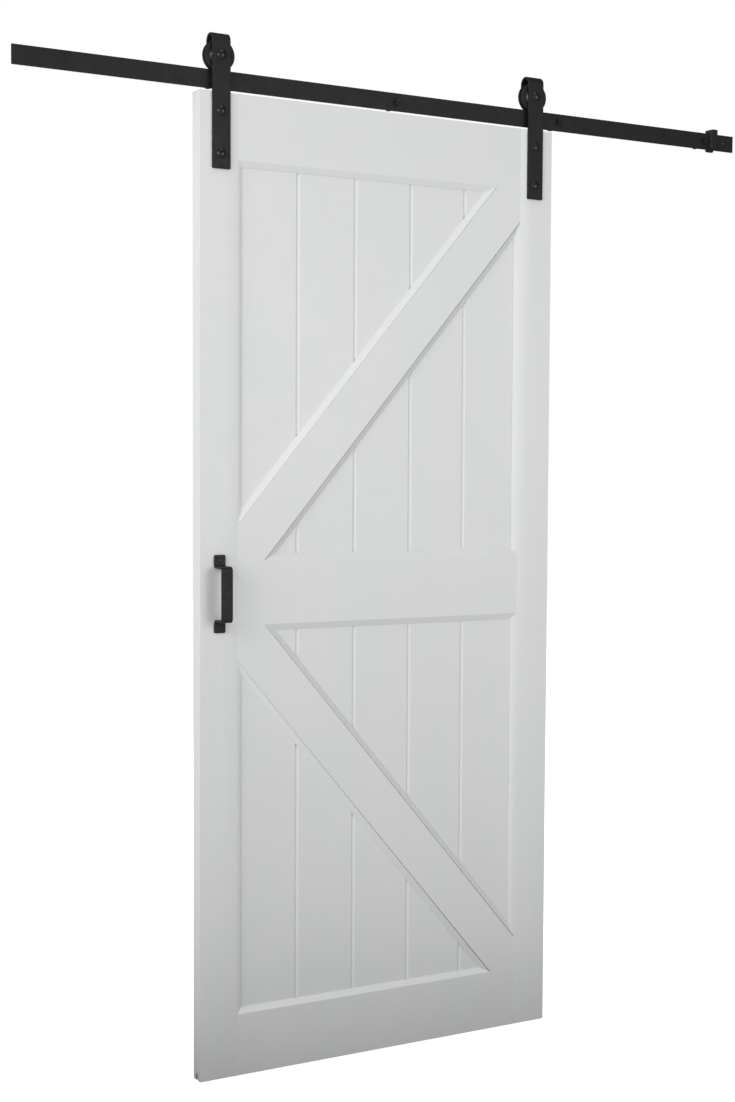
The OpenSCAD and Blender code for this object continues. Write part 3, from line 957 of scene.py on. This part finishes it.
@dataclass(frozen=True)
class DomeBolt:
    """A bolt with a low domed head on a short collar, and a threaded end."""

    head_d: float = 22 * MM
    head_h: float = 6 * MM
    shank_d: float = 8 * MM
    length: float = 50 * MM
    collar: float = 1.1 * MM
    thread_pitch: float = 1.25 * MM
    thread_length: float = 12 * MM
    thread_depth: float = 0.45 * MM
    ridge: float = 0.42 * MM
    steps: int = 9

    def mesh(self, shop: Workshop) -> bpy.types.Mesh:
        """Return the bolt with its head's underside at the origin."""
        r, shank = self.head_d / 2, self.shank_d / 2
        rise = self.head_h - self.collar
        ball = (r * r + rise * rise) / (2 * rise)
        rim = math.asin(r / ball)
        turns = [rim * i / self.steps for i in range(self.steps + 1)]
        dome = [Ring(ball * math.sin(turn), ball - self.head_h - ball * math.cos(turn))
                for turn in turns]
        head = dome[:-1] + softened([dome[-2], dome[-1], Ring(r, -0.3 * MM),
                                     Ring(r - 0.5 * MM, 0)], 0.4 * MM)[1:]
        root = shank - self.thread_depth
        neck = self.length - self.thread_length
        tail = [Ring(shank, 0), Ring(shank, neck), Ring(root, neck + 0.6 * MM),
                Ring(root, self.length - 0.4 * MM), Ring(root - 0.7 * MM, self.length),
                Ring(0, self.length)]
        bolt = turned([Ring(0, -self.head_h), *head[1:], *tail])
        return shop.threaded(bolt, root, self.ridge, self.thread_pitch, neck + 0.8 * MM,
                             self.thread_length - 1.4 * MM, Finish.OXIDE)


@dataclass(frozen=True)
class HexNut:
    """A hex nut with chamfered corners."""

    flats: float = 13 * MM
    height: float = 6.5 * MM
    bore_d: float = 8 * MM

    def mesh(self) -> bpy.types.Mesh:
        """Return the nut with its seat at the origin."""
        corner, bore = self.flats / math.sqrt(3), self.bore_d / 2
        cut = corner * 0.08
        return turned([
            Ring(bore + 0.4 * MM, 0), Ring(self.flats / 2 * 0.97, 0),
            Ring(self.flats / 2, 0.05 * MM, self.flats), Ring(corner, cut, self.flats),
            Ring(corner, self.height - cut, self.flats),
            Ring(self.flats / 2, self.height - 0.05 * MM, self.flats),
            Ring(self.flats / 2 * 0.97, self.height), Ring(bore + 0.4 * MM, self.height),
            Ring(bore, self.height - 0.5 * MM), Ring(bore, 0.5 * MM)], hollow=True)


@dataclass(frozen=True)
class Washer:
    """A flat round washer or a plain sleeve."""

    outer_d: float
    inner_d: float
    length: float
    softness: float = 0.35 * MM

    def mesh(self) -> bpy.types.Mesh:
        """Return the washer with its first face at the origin."""
        r, bore = self.outer_d / 2, self.inner_d / 2
        mid = Ring((r + bore) / 2, 0)
        outline = softened([mid, Ring(r, 0), Ring(r, self.length), Ring(bore, self.length),
                            Ring(bore, 0), mid], self.softness)
        return turned(outline[:-1], hollow=True)


@dataclass(frozen=True)
class LagBolt:
    """A track bolt: hex head with a pressed washer face, plain shank and wood thread."""

    flats: float = 13 * MM
    head_h: float = 5.5 * MM
    shank_d: float = 7.2 * MM
    thread_d: float = 8 * MM
    plain: float = 39.6 * MM
    embed: float = 44 * MM
    tip: float = 8 * MM
    thread_pitch: float = 3.4 * MM

    def mesh(self, shop: Workshop) -> bpy.types.Mesh:
        """Return the bolt with its head's underside at the origin."""
        corner, cut = self.flats / math.sqrt(3), self.flats * 0.05
        root, end = self.thread_d / 2 - 1.1 * MM, self.plain + self.embed
        bolt = turned([
            Ring(0, -self.head_h + 0.25 * MM), Ring(self.flats * 0.3, -self.head_h + 0.2 * MM),
            Ring(self.flats * 0.42, -self.head_h),
            Ring(self.flats / 2, 0.1 * MM - self.head_h, self.flats),
            Ring(corner, cut - self.head_h, self.flats), Ring(corner, -0.6 * MM, self.flats),
            Ring(self.flats / 2, -0.5 * MM, self.flats), Ring(self.flats / 2 * 0.97, 0),
            Ring(self.shank_d / 2, 0), Ring(self.shank_d / 2, self.plain),
            Ring(root, self.plain + 1 * MM), Ring(root, end - self.tip),
            Ring(root * 0.45, end - 2 * MM), Ring(0, end)])
        return shop.threaded(bolt, root + 0.15 * MM, 0.95 * MM, self.thread_pitch,
                             self.plain + 2.0 * MM, self.embed - self.tip - 2 * MM, Finish.OXIDE)


@dataclass(frozen=True)
class PanScrew:
    """A wood screw with a low pan head that has a hex socket."""

    head_d: float = 9 * MM
    head_h: float = 2 * MM
    shank_d: float = 4.8 * MM
    length: float = 33 * MM
    socket: float = 3 * MM

    def mesh(self, shop: Workshop) -> bpy.types.Mesh:
        """Return the screw with its head's underside at the origin."""
        r, hole = self.head_d / 2, self.socket / math.sqrt(3)
        floor = -self.head_h * 0.3
        head = softened([Ring(hole * 1.15, -self.head_h), Ring(r * 0.72, -self.head_h * 0.97),
                         Ring(r * 0.95, -self.head_h * 0.55), Ring(r, 0)], 0.5 * MM)
        root = self.shank_d / 2 - 0.55 * MM
        screw = turned([
            Ring(0, floor), Ring(hole * 0.5, floor, self.socket * 0.5),
            Ring(hole, floor, self.socket), Ring(hole, -self.head_h + 0.15 * MM, self.socket),
            *head, Ring(self.shank_d / 2, 0), Ring(self.shank_d / 2, 6 * MM),
            Ring(root, 6.6 * MM), Ring(root, self.length - 5 * MM), Ring(0, self.length)])
        return shop.threaded(screw, root, 0.5 * MM, 1.9 * MM, 7.4 * MM,
                             self.length - 13 * MM, Finish.OXIDE)


@dataclass(frozen=True)
class Dowel:
    """A frame dowel with chamfered ends and glue flutes, lying along X."""

    diameter: float = 12 * MM
    length: float = 70 * MM
    flutes: int = 12

    def mesh(self) -> bpy.types.Mesh:
        """Return the dowel with its middle at the origin."""
        r, half = self.diameter / 2, self.length / 2
        rod = turned([Ring(0, -half), Ring(r - 1.2 * MM, -half), Ring(r, 1.6 * MM - half),
                      Ring(r, half - 1.6 * MM), Ring(r - 1.2 * MM, half), Ring(0, half)])
        for vert in rod.vertices:
            angle = math.atan2(vert.co.z, vert.co.x)
            if math.hypot(vert.co.x, vert.co.z) > r * 0.99 and math.cos(angle * self.flutes) < 0:
                vert.co.x *= 0.955
                vert.co.z *= 0.955
        rod.transform(Matrix.Rotation(-math.pi / 2, 4, "Z"))
        return rod


# ---------------------------------------------------------------- sub-assemblies


@dataclass
class DoorSlab:
    """The painted slab: stiles, rails, planked panels and diagonal braces."""

    shop: Workshop
    stile_w: float = 89 * MM
    joint_gap: float = 0.25 * MM
    arris_soft: float = 1.1 * MM
    corner_soft: float = 1.3 * MM
    lip_soft: float = 0.3 * MM
    plank_w: float = 145 * MM
    plank_joints: int = 4
    groove_w: float = 9.5 * MM
    groove_d: float = 3 * MM
    groove_soft: float = 0.9 * MM
    guide_w: float = 6.5 * MM
    guide_d: float = 16 * MM
    guide_arris: float = 0.5 * MM
    lip_from: float = 6 * MM
    lip_to: float = 8.5 * MM
    top_dowel_pitch: float = 30 * MM
    middle_dowel_pitch: float = 70.5 * MM
    bottom_rail_w: float = 137 * MM
    dowel: Dowel = Dowel()

    def build(self) -> None:
        """Make every piece of the slab."""
        self.low, self.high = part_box("left_stile")[0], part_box("right_stile")[1]
        for node in ("left_stile", "right_stile"):
            self._member(node, lambda p: p)
        for node in ("top_rail", "middle_rail", "bottom_rail"):
            self._member(node, self._shortened)
        for node in ("upper_brace", "lower_brace"):
            self._member(node, lambda p: p)
        for node in ("upper_panel", "lower_panel"):
            self._panel(node)
        self._dowels()

    def _shortened(self, point: Vector) -> Vector:
        """Move the ends of a rail in from the stiles by the width of a paint joint."""
        middle = (self.low.x + self.high.x) / 2
        reach = self.high.x - middle - self.stile_w - 1 * MM
        if abs(point.x - middle) > reach:
            point.x -= math.copysign(self.joint_gap, point.x - middle)
        return point

    def _outside(self, a: Vector, b: Vector) -> bool:
        """Return True for an edge that lies on the outer edge of the slab."""
        return any(abs(a[axis] - side[axis]) + abs(b[axis] - side[axis]) < TOUCH
                   for side in (self.low, self.high) for axis in (0, 2))

    def _lip(self, a: Vector, b: Vector) -> bool:
        """Return True for an edge of the thin lips beside a panel, front or back."""
        depth = min(abs(a.y - self.low.y), abs(a.y - self.high.y))
        return abs(a.y - b.y) < TOUCH and self.lip_from < depth < self.lip_to

    def _member(self, node: str, nudge: Callable[[Vector], Vector]) -> None:
        """Make one stile, rail or brace, bare inside the floor guide groove.

        Args:
            node: The CAD node.
            nudge: Gives each point's place before the edges are eased.
        """
        mesh = eased_copy(node, [
            EasedEdges(self.corner_soft, 60, 100, self._outside),
            EasedEdges(self.arris_soft, 20, 40),
            EasedEdges(self.lip_soft, 50, 70, self._lip)], nudge)
        middle = (self.low.y + self.high.y) / 2
        for face in mesh.polygons:
            up = face.center.z - self.low.z
            if (abs(face.center.y - middle) < self.guide_w / 2 + TOUCH
                    and self.guide_arris < up < self.guide_d + TOUCH
                    and abs(face.normal.x) < 0.9):
                face.material_index = 1
        self.shop.fit("painted_" + node, mesh, Body.DOOR, Finish.PAINT, [node], [Finish.WOOD])

    def _panel(self, node: str) -> None:
        """Make one planked panel.

        Args:
            node: The CAD node.
        """
        low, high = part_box(node)
        size = high - low
        foot = Vector(((low.x + high.x) / 2, (low.y + high.y) / 2, low.z))
        mesh = run_tree(bpy.data.meshes.new("outline"), node, self.shop.trees.planks,
                        Joints=self.plank_joints, Plank_width=self.plank_w,
                        Joint_width=self.groove_w, Joint_depth=self.groove_d,
                        Panel_width=size.x, Panel_height=size.z, Panel_thickness=size.y,
                        Edge_softness=self.groove_soft, Foot_centre=list(foot),
                        Finish=self.shop.finishes[Finish.PAINT])
        self.shop.fit("planked_" + node, mesh, Body.DOOR, Finish.PAINT, [node])

    def _dowels(self) -> None:
        """Make the hidden dowels, two in each joint between a rail and a stile."""
        low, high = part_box("frame_dowels")
        rail_low, rail_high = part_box("middle_rail")
        top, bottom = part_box("top_rail"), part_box("bottom_rail")
        r, half = self.dowel.diameter / 2, self.dowel.length / 2
        across = high.x - low.x - 2 * half
        middle = (rail_low.z + rail_high.z) / 2
        heights = [(high.z - r - self.top_dowel_pitch, self.top_dowel_pitch),
                   (middle - self.middle_dowel_pitch / 2, self.middle_dowel_pitch),
                   (low.z + r, (self.bottom_rail_w - self.guide_d) / 3)]
        log.info("dowels between %s and %s", bottom[0].z, top[1].z)
        meshes = [self.shop.rows(self.dowel.mesh(),
                                 Vector((low.x + half, (low.y + high.y) / 2, z)),
                                 2, across, 2, up, Finish.WOOD) for z, up in heights]
        self.shop.fit("fluted_dowels", joined(meshes), Body.DOOR, Finish.WOOD, ["frame_dowels"])


@dataclass
class Hangers:
    """The two strap hangers with their bolts, washers and nuts."""

    shop: Workshop
    edge_soft: float = 0.7 * MM
    strap_t: float = 5 * MM
    door_t: float = 35 * MM
    bolt_pitch: float = 90 * MM
    bolt_hole_r: float = 4.25 * MM
    rim_reach: float = 6 * MM
    dome_turn: float = 6.0
    nut_turn: float = 1.0
    washer_d: float = 24 * MM
    washer_t: float = 1.6 * MM
    sleeve_d: float = 12 * MM
    sleeve_bore_d: float = 8.2 * MM
    sleeve_gap: float = 0.2 * MM
    nut: HexNut = HexNut()

    def build(self) -> None:
        """Make both straps and everything that holds them."""
        left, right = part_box("left_hanger_strap"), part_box("right_hanger_strap")
        self.first_x = (left[0].x + left[1].x) / 2
        self.across = (right[0].x + right[1].x) / 2 - self.first_x
        self.front_y = left[0].y
        self.low_bolt_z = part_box("strap_bolts")[0].z + DomeBolt.head_d / 2
        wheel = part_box("left_wheel")
        self.axle_z = (wheel[0].z + wheel[1].z) / 2
        self._straps()
        self._strap_bolts()
        self._axles()

    def _straps(self) -> None:
        """Make the two bent straps, eased everywhere but at their bolt holes."""
        heights = (self.low_bolt_z, self.low_bolt_z + self.bolt_pitch, self.axle_z)
        for node in ("left_hanger_strap", "right_hanger_strap"):
            low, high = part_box(node)
            off_rims = clear_of([((low.x + high.x) / 2, z) for z in heights], self.rim_reach)
            mesh = eased_copy(node, [EasedEdges(self.edge_soft, 45, 100, off_rims)])
            self.shop.fit("black_" + node, mesh, Body.DOOR, Finish.POWDER, [node])

    def _strap_bolts(self) -> None:
        """Make the bolts through the door, with their washers and nuts behind it."""
        shop, seat = self.shop, self.front_y
        first = Vector((self.first_x, seat, self.low_bolt_z))
        layout = (2, self.across, 2, self.bolt_pitch)
        bolt = DomeBolt(length=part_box("strap_bolts")[1].y - seat)
        shop.fit_rows("domed_strap_bolts", bolt.mesh(shop), first, layout, Body.DOOR,
                      Finish.OXIDE, "strap_bolts", self.dome_turn)
        washer = Washer(self.washer_d, 2 * self.bolt_hole_r, self.washer_t)
        first.y = seat + self.strap_t + self.door_t
        shop.fit_rows("back_washers", washer.mesh(), first, layout, Body.DOOR, Finish.ZINC,
                      "strap_washers")
        first.y += self.washer_t
        shop.fit_rows("back_nuts", self.nut.mesh(), first, layout, Body.DOOR, Finish.ZINC,
                      "strap_nuts", self.nut_turn)

    def _axles(self) -> None:
        """Make the axle bolts, their nuts and the sleeves beside the bearings."""
        shop = self.shop
        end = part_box("left_axle_bolt")[1].y
        strap_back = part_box("left_hanger_strap")[1].y
        for node in ("left_axle_bolt", "right_axle_bolt"):
            low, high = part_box(node)
            place = Vector(((low.x + high.x) / 2, self.front_y, self.axle_z))
            bolt = DomeBolt(length=end - self.front_y)
            shop.fit_rows("domed_" + node, bolt.mesh(shop), place, (1, 0.0, 1, 0.0), Body.DOOR,
                          Finish.OXIDE, node, self.dome_turn)
        place = Vector((self.first_x, strap_back, self.axle_z))
        shop.fit_rows("hex_axle_nuts", self.nut.mesh(), place, (2, self.across, 1, 0.0),
                      Body.DOOR, Finish.OXIDE, "axle_nuts", self.nut_turn)
        low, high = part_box("axle_sleeves")
        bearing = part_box("left_wheel_bearing")
        length = bearing[0].y - self.sleeve_gap - low.y
        sleeve = Washer(self.sleeve_d, self.sleeve_bore_d, length)
        rows = [shop.rows(sleeve.mesh(), Vector((self.first_x, y, self.axle_z)), 2, self.across,
                          1, 0.0, Finish.ZINC) for y in (low.y, high.y - length)]
        shop.fit("turned_axle_sleeves", joined(rows), Body.DOOR, Finish.ZINC, ["axle_sleeves"])


@dataclass
class Wheels:
    """The two grooved wheels with their bearings."""

    shop: Workshop
    tread_r: float = 30 * MM
    flange_r: float = 34 * MM
    width: float = 20 * MM
    tread_half: float = 4 * MM
    edge: float = 1 * MM
    dish: float = 4 * MM
    bearing_r: float = 11 * MM
    bearing_w: float = 7 * MM
    bearing_bore_r: float = 4.1 * MM
    web_w: float = 5 * MM
    rim_wall: float = 5 * MM
    wheel_soft: float = 0.5 * MM
    bearing_soft: float = 0.25 * MM

    def build(self) -> None:
        """Make both wheels and both bearings."""
        for side, body in (("left", Body.LEFT_WHEEL), ("right", Body.RIGHT_WHEEL)):
            low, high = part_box(side + "_wheel")
            centre = (low + high) / 2
            for name, mesh, finish, node, also in (
                    ("grooved_" + side + "_wheel", self._wheel(), Finish.POWDER, side + "_wheel",
                     [Finish.ZINC]),
                    ("sealed_" + side + "_bearing", self._bearing(), Finish.ZINC,
                     side + "_wheel_bearing", [])):
                mesh.transform(Matrix.Translation(centre))
                self.shop.fit(name, mesh, body, finish, [node], also)

    def _wheel(self) -> bpy.types.Mesh:
        """Return a wheel about the origin: groove, flanges, dished web and hub."""
        half, rim = self.width / 2, self.tread_r - self.rim_wall
        hub = rim - self.web_w
        one = [Ring(self.tread_r, 0), Ring(self.tread_r, self.tread_half),
               Ring(self.flange_r, self.tread_half + self.edge),
               Ring(self.flange_r, half - self.edge), Ring(self.flange_r - self.edge, half),
               Ring(rim, half), Ring(rim - self.edge, half - self.dish),
               Ring(hub + self.edge, half - self.dish), Ring(hub, half),
               Ring(self.bearing_r, half), Ring(self.bearing_r, 0)]
        mesh = self._mirrored(softened(one, self.wheel_soft), 96)
        for face in mesh.polygons:
            spot = face.center
            if (abs(spot.y) > half - self.dish - self.wheel_soft / 2
                    and math.hypot(spot.x, spot.z) < rim - self.edge):
                face.material_index = 1
        return mesh

    @staticmethod
    def _mirrored(one: Sequence[Ring], segments: int) -> bpy.types.Mesh:
        """Return a turned piece with a bore whose two sides are alike.

        Args:
            one: The rings of the side towards +Y, from the middle round to the middle.
            segments: Sides of the piece.
        """
        other = [Ring(ring.radius, -ring.along) for ring in reversed(one[1:-1])]
        return turned([*one, *other], hollow=True, segments=segments)

    def _bearing(self) -> bpy.types.Mesh:
        """Return a sealed ball bearing about the origin."""
        inner, outer, half = self.bearing_bore_r, self.bearing_r, self.bearing_w / 2
        ring, shield = 1.6 * MM, 0.4 * MM
        one = [Ring(outer, 0), Ring(outer, half), Ring(outer - ring, half),
               Ring(outer - ring, half - shield), Ring(outer - ring - 0.5 * MM, half - shield),
               Ring(outer - ring - 0.8 * MM, half - shield + 0.2 * MM),
               Ring(inner + ring + 0.8 * MM, half - shield + 0.2 * MM),
               Ring(inner + ring, half - shield - 0.1 * MM), Ring(inner + ring, half),
               Ring(inner, half), Ring(inner, 0)]
        return self._mirrored(softened(one, self.bearing_soft, 2), 64)


@dataclass
class PullHandle:
    """The bent flat-bar pull and its two screws."""

    shop: Workshop
    edge_soft: float = 0.8 * MM
    foot_l: float = 24 * MM
    bar_t: float = 5 * MM
    rim_reach: float = 4 * MM
    screw: PanScrew = PanScrew()

    def build(self) -> None:
        """Make the pull and its screws."""
        low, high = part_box("pull_handle")
        x = (low.x + high.x) / 2
        first, second = low.z + self.foot_l / 2, high.z - self.foot_l / 2
        off_rims = clear_of([(x, first), (x, second)], self.rim_reach)
        mesh = eased_copy("pull_handle", [EasedEdges(self.edge_soft, 45, 100, off_rims)])
        self.shop.fit("black_pull_handle", mesh, Body.DOOR, Finish.POWDER, ["pull_handle"])
        self.shop.fit_rows("pan_head_screws", self.screw.mesh(self.shop),
                           Vector((x, high.y - self.bar_t, first)), (1, 0.0, 2, second - first),
                           Body.DOOR, Finish.OXIDE, "handle_screws", 1.0)


@dataclass
class Track:
    """The flat track with its spacers, bolts and washers, and the end stop."""

    shop: Workshop
    edge_soft: float = 0.8 * MM
    bolts: int = 4
    pitch: float = 450 * MM
    hole_r: float = 4.25 * MM
    rim_reach: float = 6 * MM
    spacer_d: float = 29 * MM
    spacer_soft: float = 0.8 * MM
    washer_d: float = 20 * MM
    washer_t: float = 1.6 * MM
    spare_inset: float = 30 * MM
    stop_soft: float = 1.0 * MM
    bumper_soft: float = 0.8 * MM
    set_screw_d: float = 6 * MM
    set_screw_pitch: float = 22 * MM
    set_screw_reach: float = 4 * MM
    socket: float = 3 * MM

    def build(self) -> None:
        """Make the track and everything that is fixed to it."""
        low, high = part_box("track_rail")
        first_x = -(self.bolts - 1) * self.pitch / 2
        holes = [(first_x + i * self.pitch, 0.0) for i in range(self.bolts)]
        holes.append((high.x - self.spare_inset, 0.0))
        off_rims = clear_of(holes, self.rim_reach)
        shop = self.shop
        mesh = eased_copy("track_rail", [EasedEdges(self.edge_soft, 45, 100, off_rims)])
        shop.fit("flat_track", mesh, Body.TRACK, Finish.POWDER, ["track_rail"])
        layout = (self.bolts, self.pitch, 1, 0.0)
        spacer = Washer(self.spacer_d, 2 * self.hole_r, -high.y, self.spacer_soft)
        shop.fit_rows("round_spacers", spacer.mesh(), Vector((first_x, high.y, 0)), layout,
                      Body.TRACK, Finish.POWDER, "rail_spacers")
        face = Vector((first_x, low.y - self.washer_t, 0))
        washer = Washer(self.washer_d, 2 * self.hole_r, self.washer_t)
        shop.fit_rows("track_washers", washer.mesh(), face, layout, Body.TRACK, Finish.POWDER,
                      "rail_washers")
        bolt = LagBolt(plain=-face.y)
        shop.fit_rows("hex_lag_bolts", bolt.mesh(shop), face, layout, Body.TRACK, Finish.OXIDE,
                      "rail_lag_bolts", 1.0)
        self._end_stop()

    def _end_stop(self) -> None:
        """Make the end stop's body, its rubber bumper and its set screws."""
        low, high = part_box("end_stop_body")
        x, half = (low.x + high.x) / 2, self.set_screw_pitch / 2
        off_rims = clear_of([(x, -half), (x, half)], self.set_screw_reach)
        shop = self.shop
        mesh = eased_copy("end_stop_body", [EasedEdges(self.stop_soft, 45, 100, off_rims)])
        shop.fit("end_stop_saddle", mesh, Body.TRACK, Finish.POWDER, ["end_stop_body"])
        mesh = eased_copy("end_stop_bumper", [EasedEdges(self.bumper_soft, 45, 100)])
        shop.fit("rubber_bumper", mesh, Body.TRACK, Finish.RUBBER, ["end_stop_bumper"])
        low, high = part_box("end_stop_set_screws")
        length, r, hole = high.y - low.y, self.set_screw_d / 2, self.socket / math.sqrt(3)
        root = r - 0.35 * MM
        screw = turned([Ring(0, 0), Ring(root - 0.5 * MM, 0), Ring(root, 0.6 * MM),
                        Ring(root, length - 0.5 * MM), Ring(root - 0.5 * MM, length),
                        Ring(hole * 1.1, length), Ring(hole, length - 0.2 * MM, self.socket),
                        Ring(hole, length / 2, self.socket),
                        Ring(hole * 0.5, length / 2, self.socket / 2), Ring(0, length / 2)])
        screw = shop.threaded(screw, root, 0.33 * MM, 1.0 * MM, 0.8 * MM, length - 1.6 * MM,
                              Finish.ZINC)
        shop.fit_rows("socket_set_screws", screw, Vector((x, low.y, -half)),
                      (1, 0.0, 2, self.set_screw_pitch), Body.TRACK, Finish.ZINC,
                      "end_stop_set_screws", 1.0)


# ---------------------------------------------------------------- studio


@dataclass(frozen=True)
class SoftBox:
    """A rectangular area light that looks at a point."""

    name: str
    place: tuple[float, float, float]
    aim: tuple[float, float, float]
    width: float
    height: float
    power: float

    def hang(self) -> None:
        """Put the light in the scene."""
        lamp = bpy.data.lights.new(self.name, "AREA")
        lamp.shape = "RECTANGLE"
        lamp.size, lamp.size_y = self.width, self.height
        lamp.energy = self.power
        holder = bpy.data.objects.new(self.name, lamp)
        holder.location = self.place
        way = Vector(self.aim) - Vector(self.place)
        holder.rotation_euler = way.to_track_quat("-Z", "Y").to_euler()
        bpy.context.scene.collection.objects.link(holder)


@dataclass
class Studio:
    """The floor, the lights, the surroundings and the camera."""

    camera_place: tuple[float, float, float] = (-2.26335, -3.44904, -0.82280)
    azimuth: float = 29.987
    elevation: float = -3.2466
    roll: float = 0.2667
    lens: float = 56.869
    shift_y: float = 0.01424
    floor_drop: float = 12 * MM
    floor_r: float = 14.0
    flag_reach: float = 0.32
    flag_gap: float = 0.5
    flag_w: float = 2.0
    flag_h: float = 0.25
    aim: tuple[float, float, float] = (-0.26, 0.0, -1.1)
    from_left_front_below: tuple[float, float, float] = (0.66, 0.345, 0.35)
    from_right_back_above: tuple[float, float, float] = (0.06, 0.16, 0.06)
    backdrop: float = 1.0

    def build(self) -> None:
        """Set up the whole studio."""
        self._camera()
        self._floor()
        self._flags()
        self._surroundings()
        for light in (
                SoftBox("key", (-3.43, -0.85, -0.22), self.aim, 1.6, 2.2, 28),
                SoftBox("second_key", (-2.9, -1.7, 0.1), self.aim, 1.4, 1.6, 14.5),
                SoftBox("fill", (0.65, -2.79, -0.48), self.aim, 1.3, 1.5, 23),
                SoftBox("top", (-0.26, -0.9, 2.2), self.aim, 1.6, 1.0, 9),
                SoftBox("back", (1.6, 4.2, 0.6), self.aim, 2.4, 2.4, 90)):
            light.hang()
        view = bpy.context.scene.view_settings
        view.view_transform, view.look = "Standard", "None"
        view.exposure, view.gamma = 0.0, 1.0

    def _camera(self) -> None:
        """Make the camera."""
        data = bpy.data.cameras.new("camera")
        data.lens, data.sensor_width, data.sensor_fit = self.lens, 36.0, "AUTO"
        data.shift_y = self.shift_y
        data.clip_start, data.clip_end = 0.05, 100.0
        turn = (Matrix.Rotation(-math.radians(self.azimuth), 4, "Z")
                @ Matrix.Rotation(math.radians(90 + self.elevation), 4, "X")
                @ Matrix.Rotation(math.radians(self.roll), 4, "Z"))
        holder = bpy.data.objects.new("camera", data)
        holder.matrix_world = Matrix.Translation(self.camera_place) @ turn
        bpy.context.scene.collection.objects.link(holder)
        bpy.context.scene.camera = holder

    def _floor(self) -> None:
        """Make the plain pale floor under the door."""
        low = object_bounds()[0].z - self.floor_drop
        bm = bmesh.new()
        bmesh.ops.create_circle(bm, cap_ends=True, radius=self.floor_r, segments=96)
        mesh = bpy.data.meshes.new("studio_floor")
        bm.to_mesh(mesh)
        bm.free()
        mesh.materials.append(StudioFloor().build())
        floor = bpy.data.objects.new("studio_floor", mesh)
        floor.location.z = low
        floor.visible_diffuse = floor.visible_glossy = False
        bpy.context.scene.collection.objects.link(floor)
        floor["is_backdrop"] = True

    def _flags(self) -> None:
        """Set two black flags that keep light off the foot of the door.

        One lies under the door, and one stands on the floor on the side of the key light.
        """
        low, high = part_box("left_stile")[0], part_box("right_stile")[1]
        floor, side = low.z - self.floor_drop - 1 * MM, low.x - self.flag_gap
        reach = Vector((self.flag_reach, self.flag_reach, 0))
        low, high = low - reach, high + reach
        self._flag("lying_flag", [(low.x, low.y, floor), (high.x, low.y, floor),
                                  (high.x, high.y, floor), (low.x, high.y, floor)])
        top, half = floor + self.flag_h, self.flag_w / 2
        self._flag("standing_flag", [(side, -half, floor), (side, half, floor),
                                     (side, half, top), (side, -half, top)])

    @staticmethod
    def _flag(name: str, corners: list[tuple[float, float, float]]) -> None:
        """Make one black card that the camera doesn't see.

        Args:
            name: Name of the card.
            corners: Its four corners in order.
        """
        mesh = bpy.data.meshes.new(name)
        mesh.from_pydata(corners, [], [(0, 1, 2, 3)])
        mesh.materials.append(MouldedRubber().build())
        flag = bpy.data.objects.new(name, mesh)
        flag.visible_camera = flag.visible_glossy = False
        bpy.context.scene.collection.objects.link(flag)
        flag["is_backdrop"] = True

    def _surroundings(self) -> None:
        """Light the scene softly from all round, each side with its own strength."""
        world = bpy.data.worlds.new("studio")
        bpy.context.scene.world = world
        world.use_nodes = True
        tree = world.node_tree
        tree.nodes.clear()

        def add(kind: str, *sources: bpy.types.NodeSocket, **settings: Any) -> bpy.types.Node:
            """Add a node and feed its first inputs."""
            node = tree.nodes.new(kind)
            for key, value in settings.items():
                setattr(node, key, value)
            for socket, source in zip(node.inputs, sources):
                tree.links.new(source, socket)
            return node

        way = add("ShaderNodeTexCoord").outputs["Generated"]
        shares = []
        for sign, strengths in ((-1, self.from_left_front_below),
                                (1, self.from_right_back_above)):
            side = add("ShaderNodeVectorMath", way, operation="MULTIPLY")
            side.inputs[1].default_value = (sign, sign, sign)
            side = add("ShaderNodeVectorMath", side.outputs[0], operation="MAXIMUM")
            side = add("ShaderNodeVectorMath", side.outputs[0], operation="DOT_PRODUCT")
            side.inputs[1].default_value = strengths
            shares.append(side.outputs["Value"])
        soft = add("ShaderNodeMath", *shares, operation="ADD")
        seen = add("ShaderNodeLightPath").outputs["Is Camera Ray"]
        mix = add("ShaderNodeMix", seen, data_type="FLOAT")
        tree.links.new(soft.outputs[0], mix.inputs[2])
        mix.inputs[3].default_value = self.backdrop
        sky = add("ShaderNodeBackground")
        sky.inputs["Color"].default_value = (1, 1, 1, 1)
        tree.links.new(mix.outputs[0], sky.inputs["Strength"])
        add("ShaderNodeOutputWorld", sky.outputs[0])


def main() -> None:
    """Build every sub-assembly and the studio round it."""
    logging.basicConfig(level=logging.INFO, format="%(name)s: %(message)s")
    shop = Workshop(FinishRack(), Trees())
    for assembly in (DoorSlab(shop), Hangers(shop), Wheels(shop), PullHandle(shop), Track(shop)):
        log.info("building %s", type(assembly).__name__)
        assembly.build()
    Studio().build()


if __name__ == "__main__":
    main()
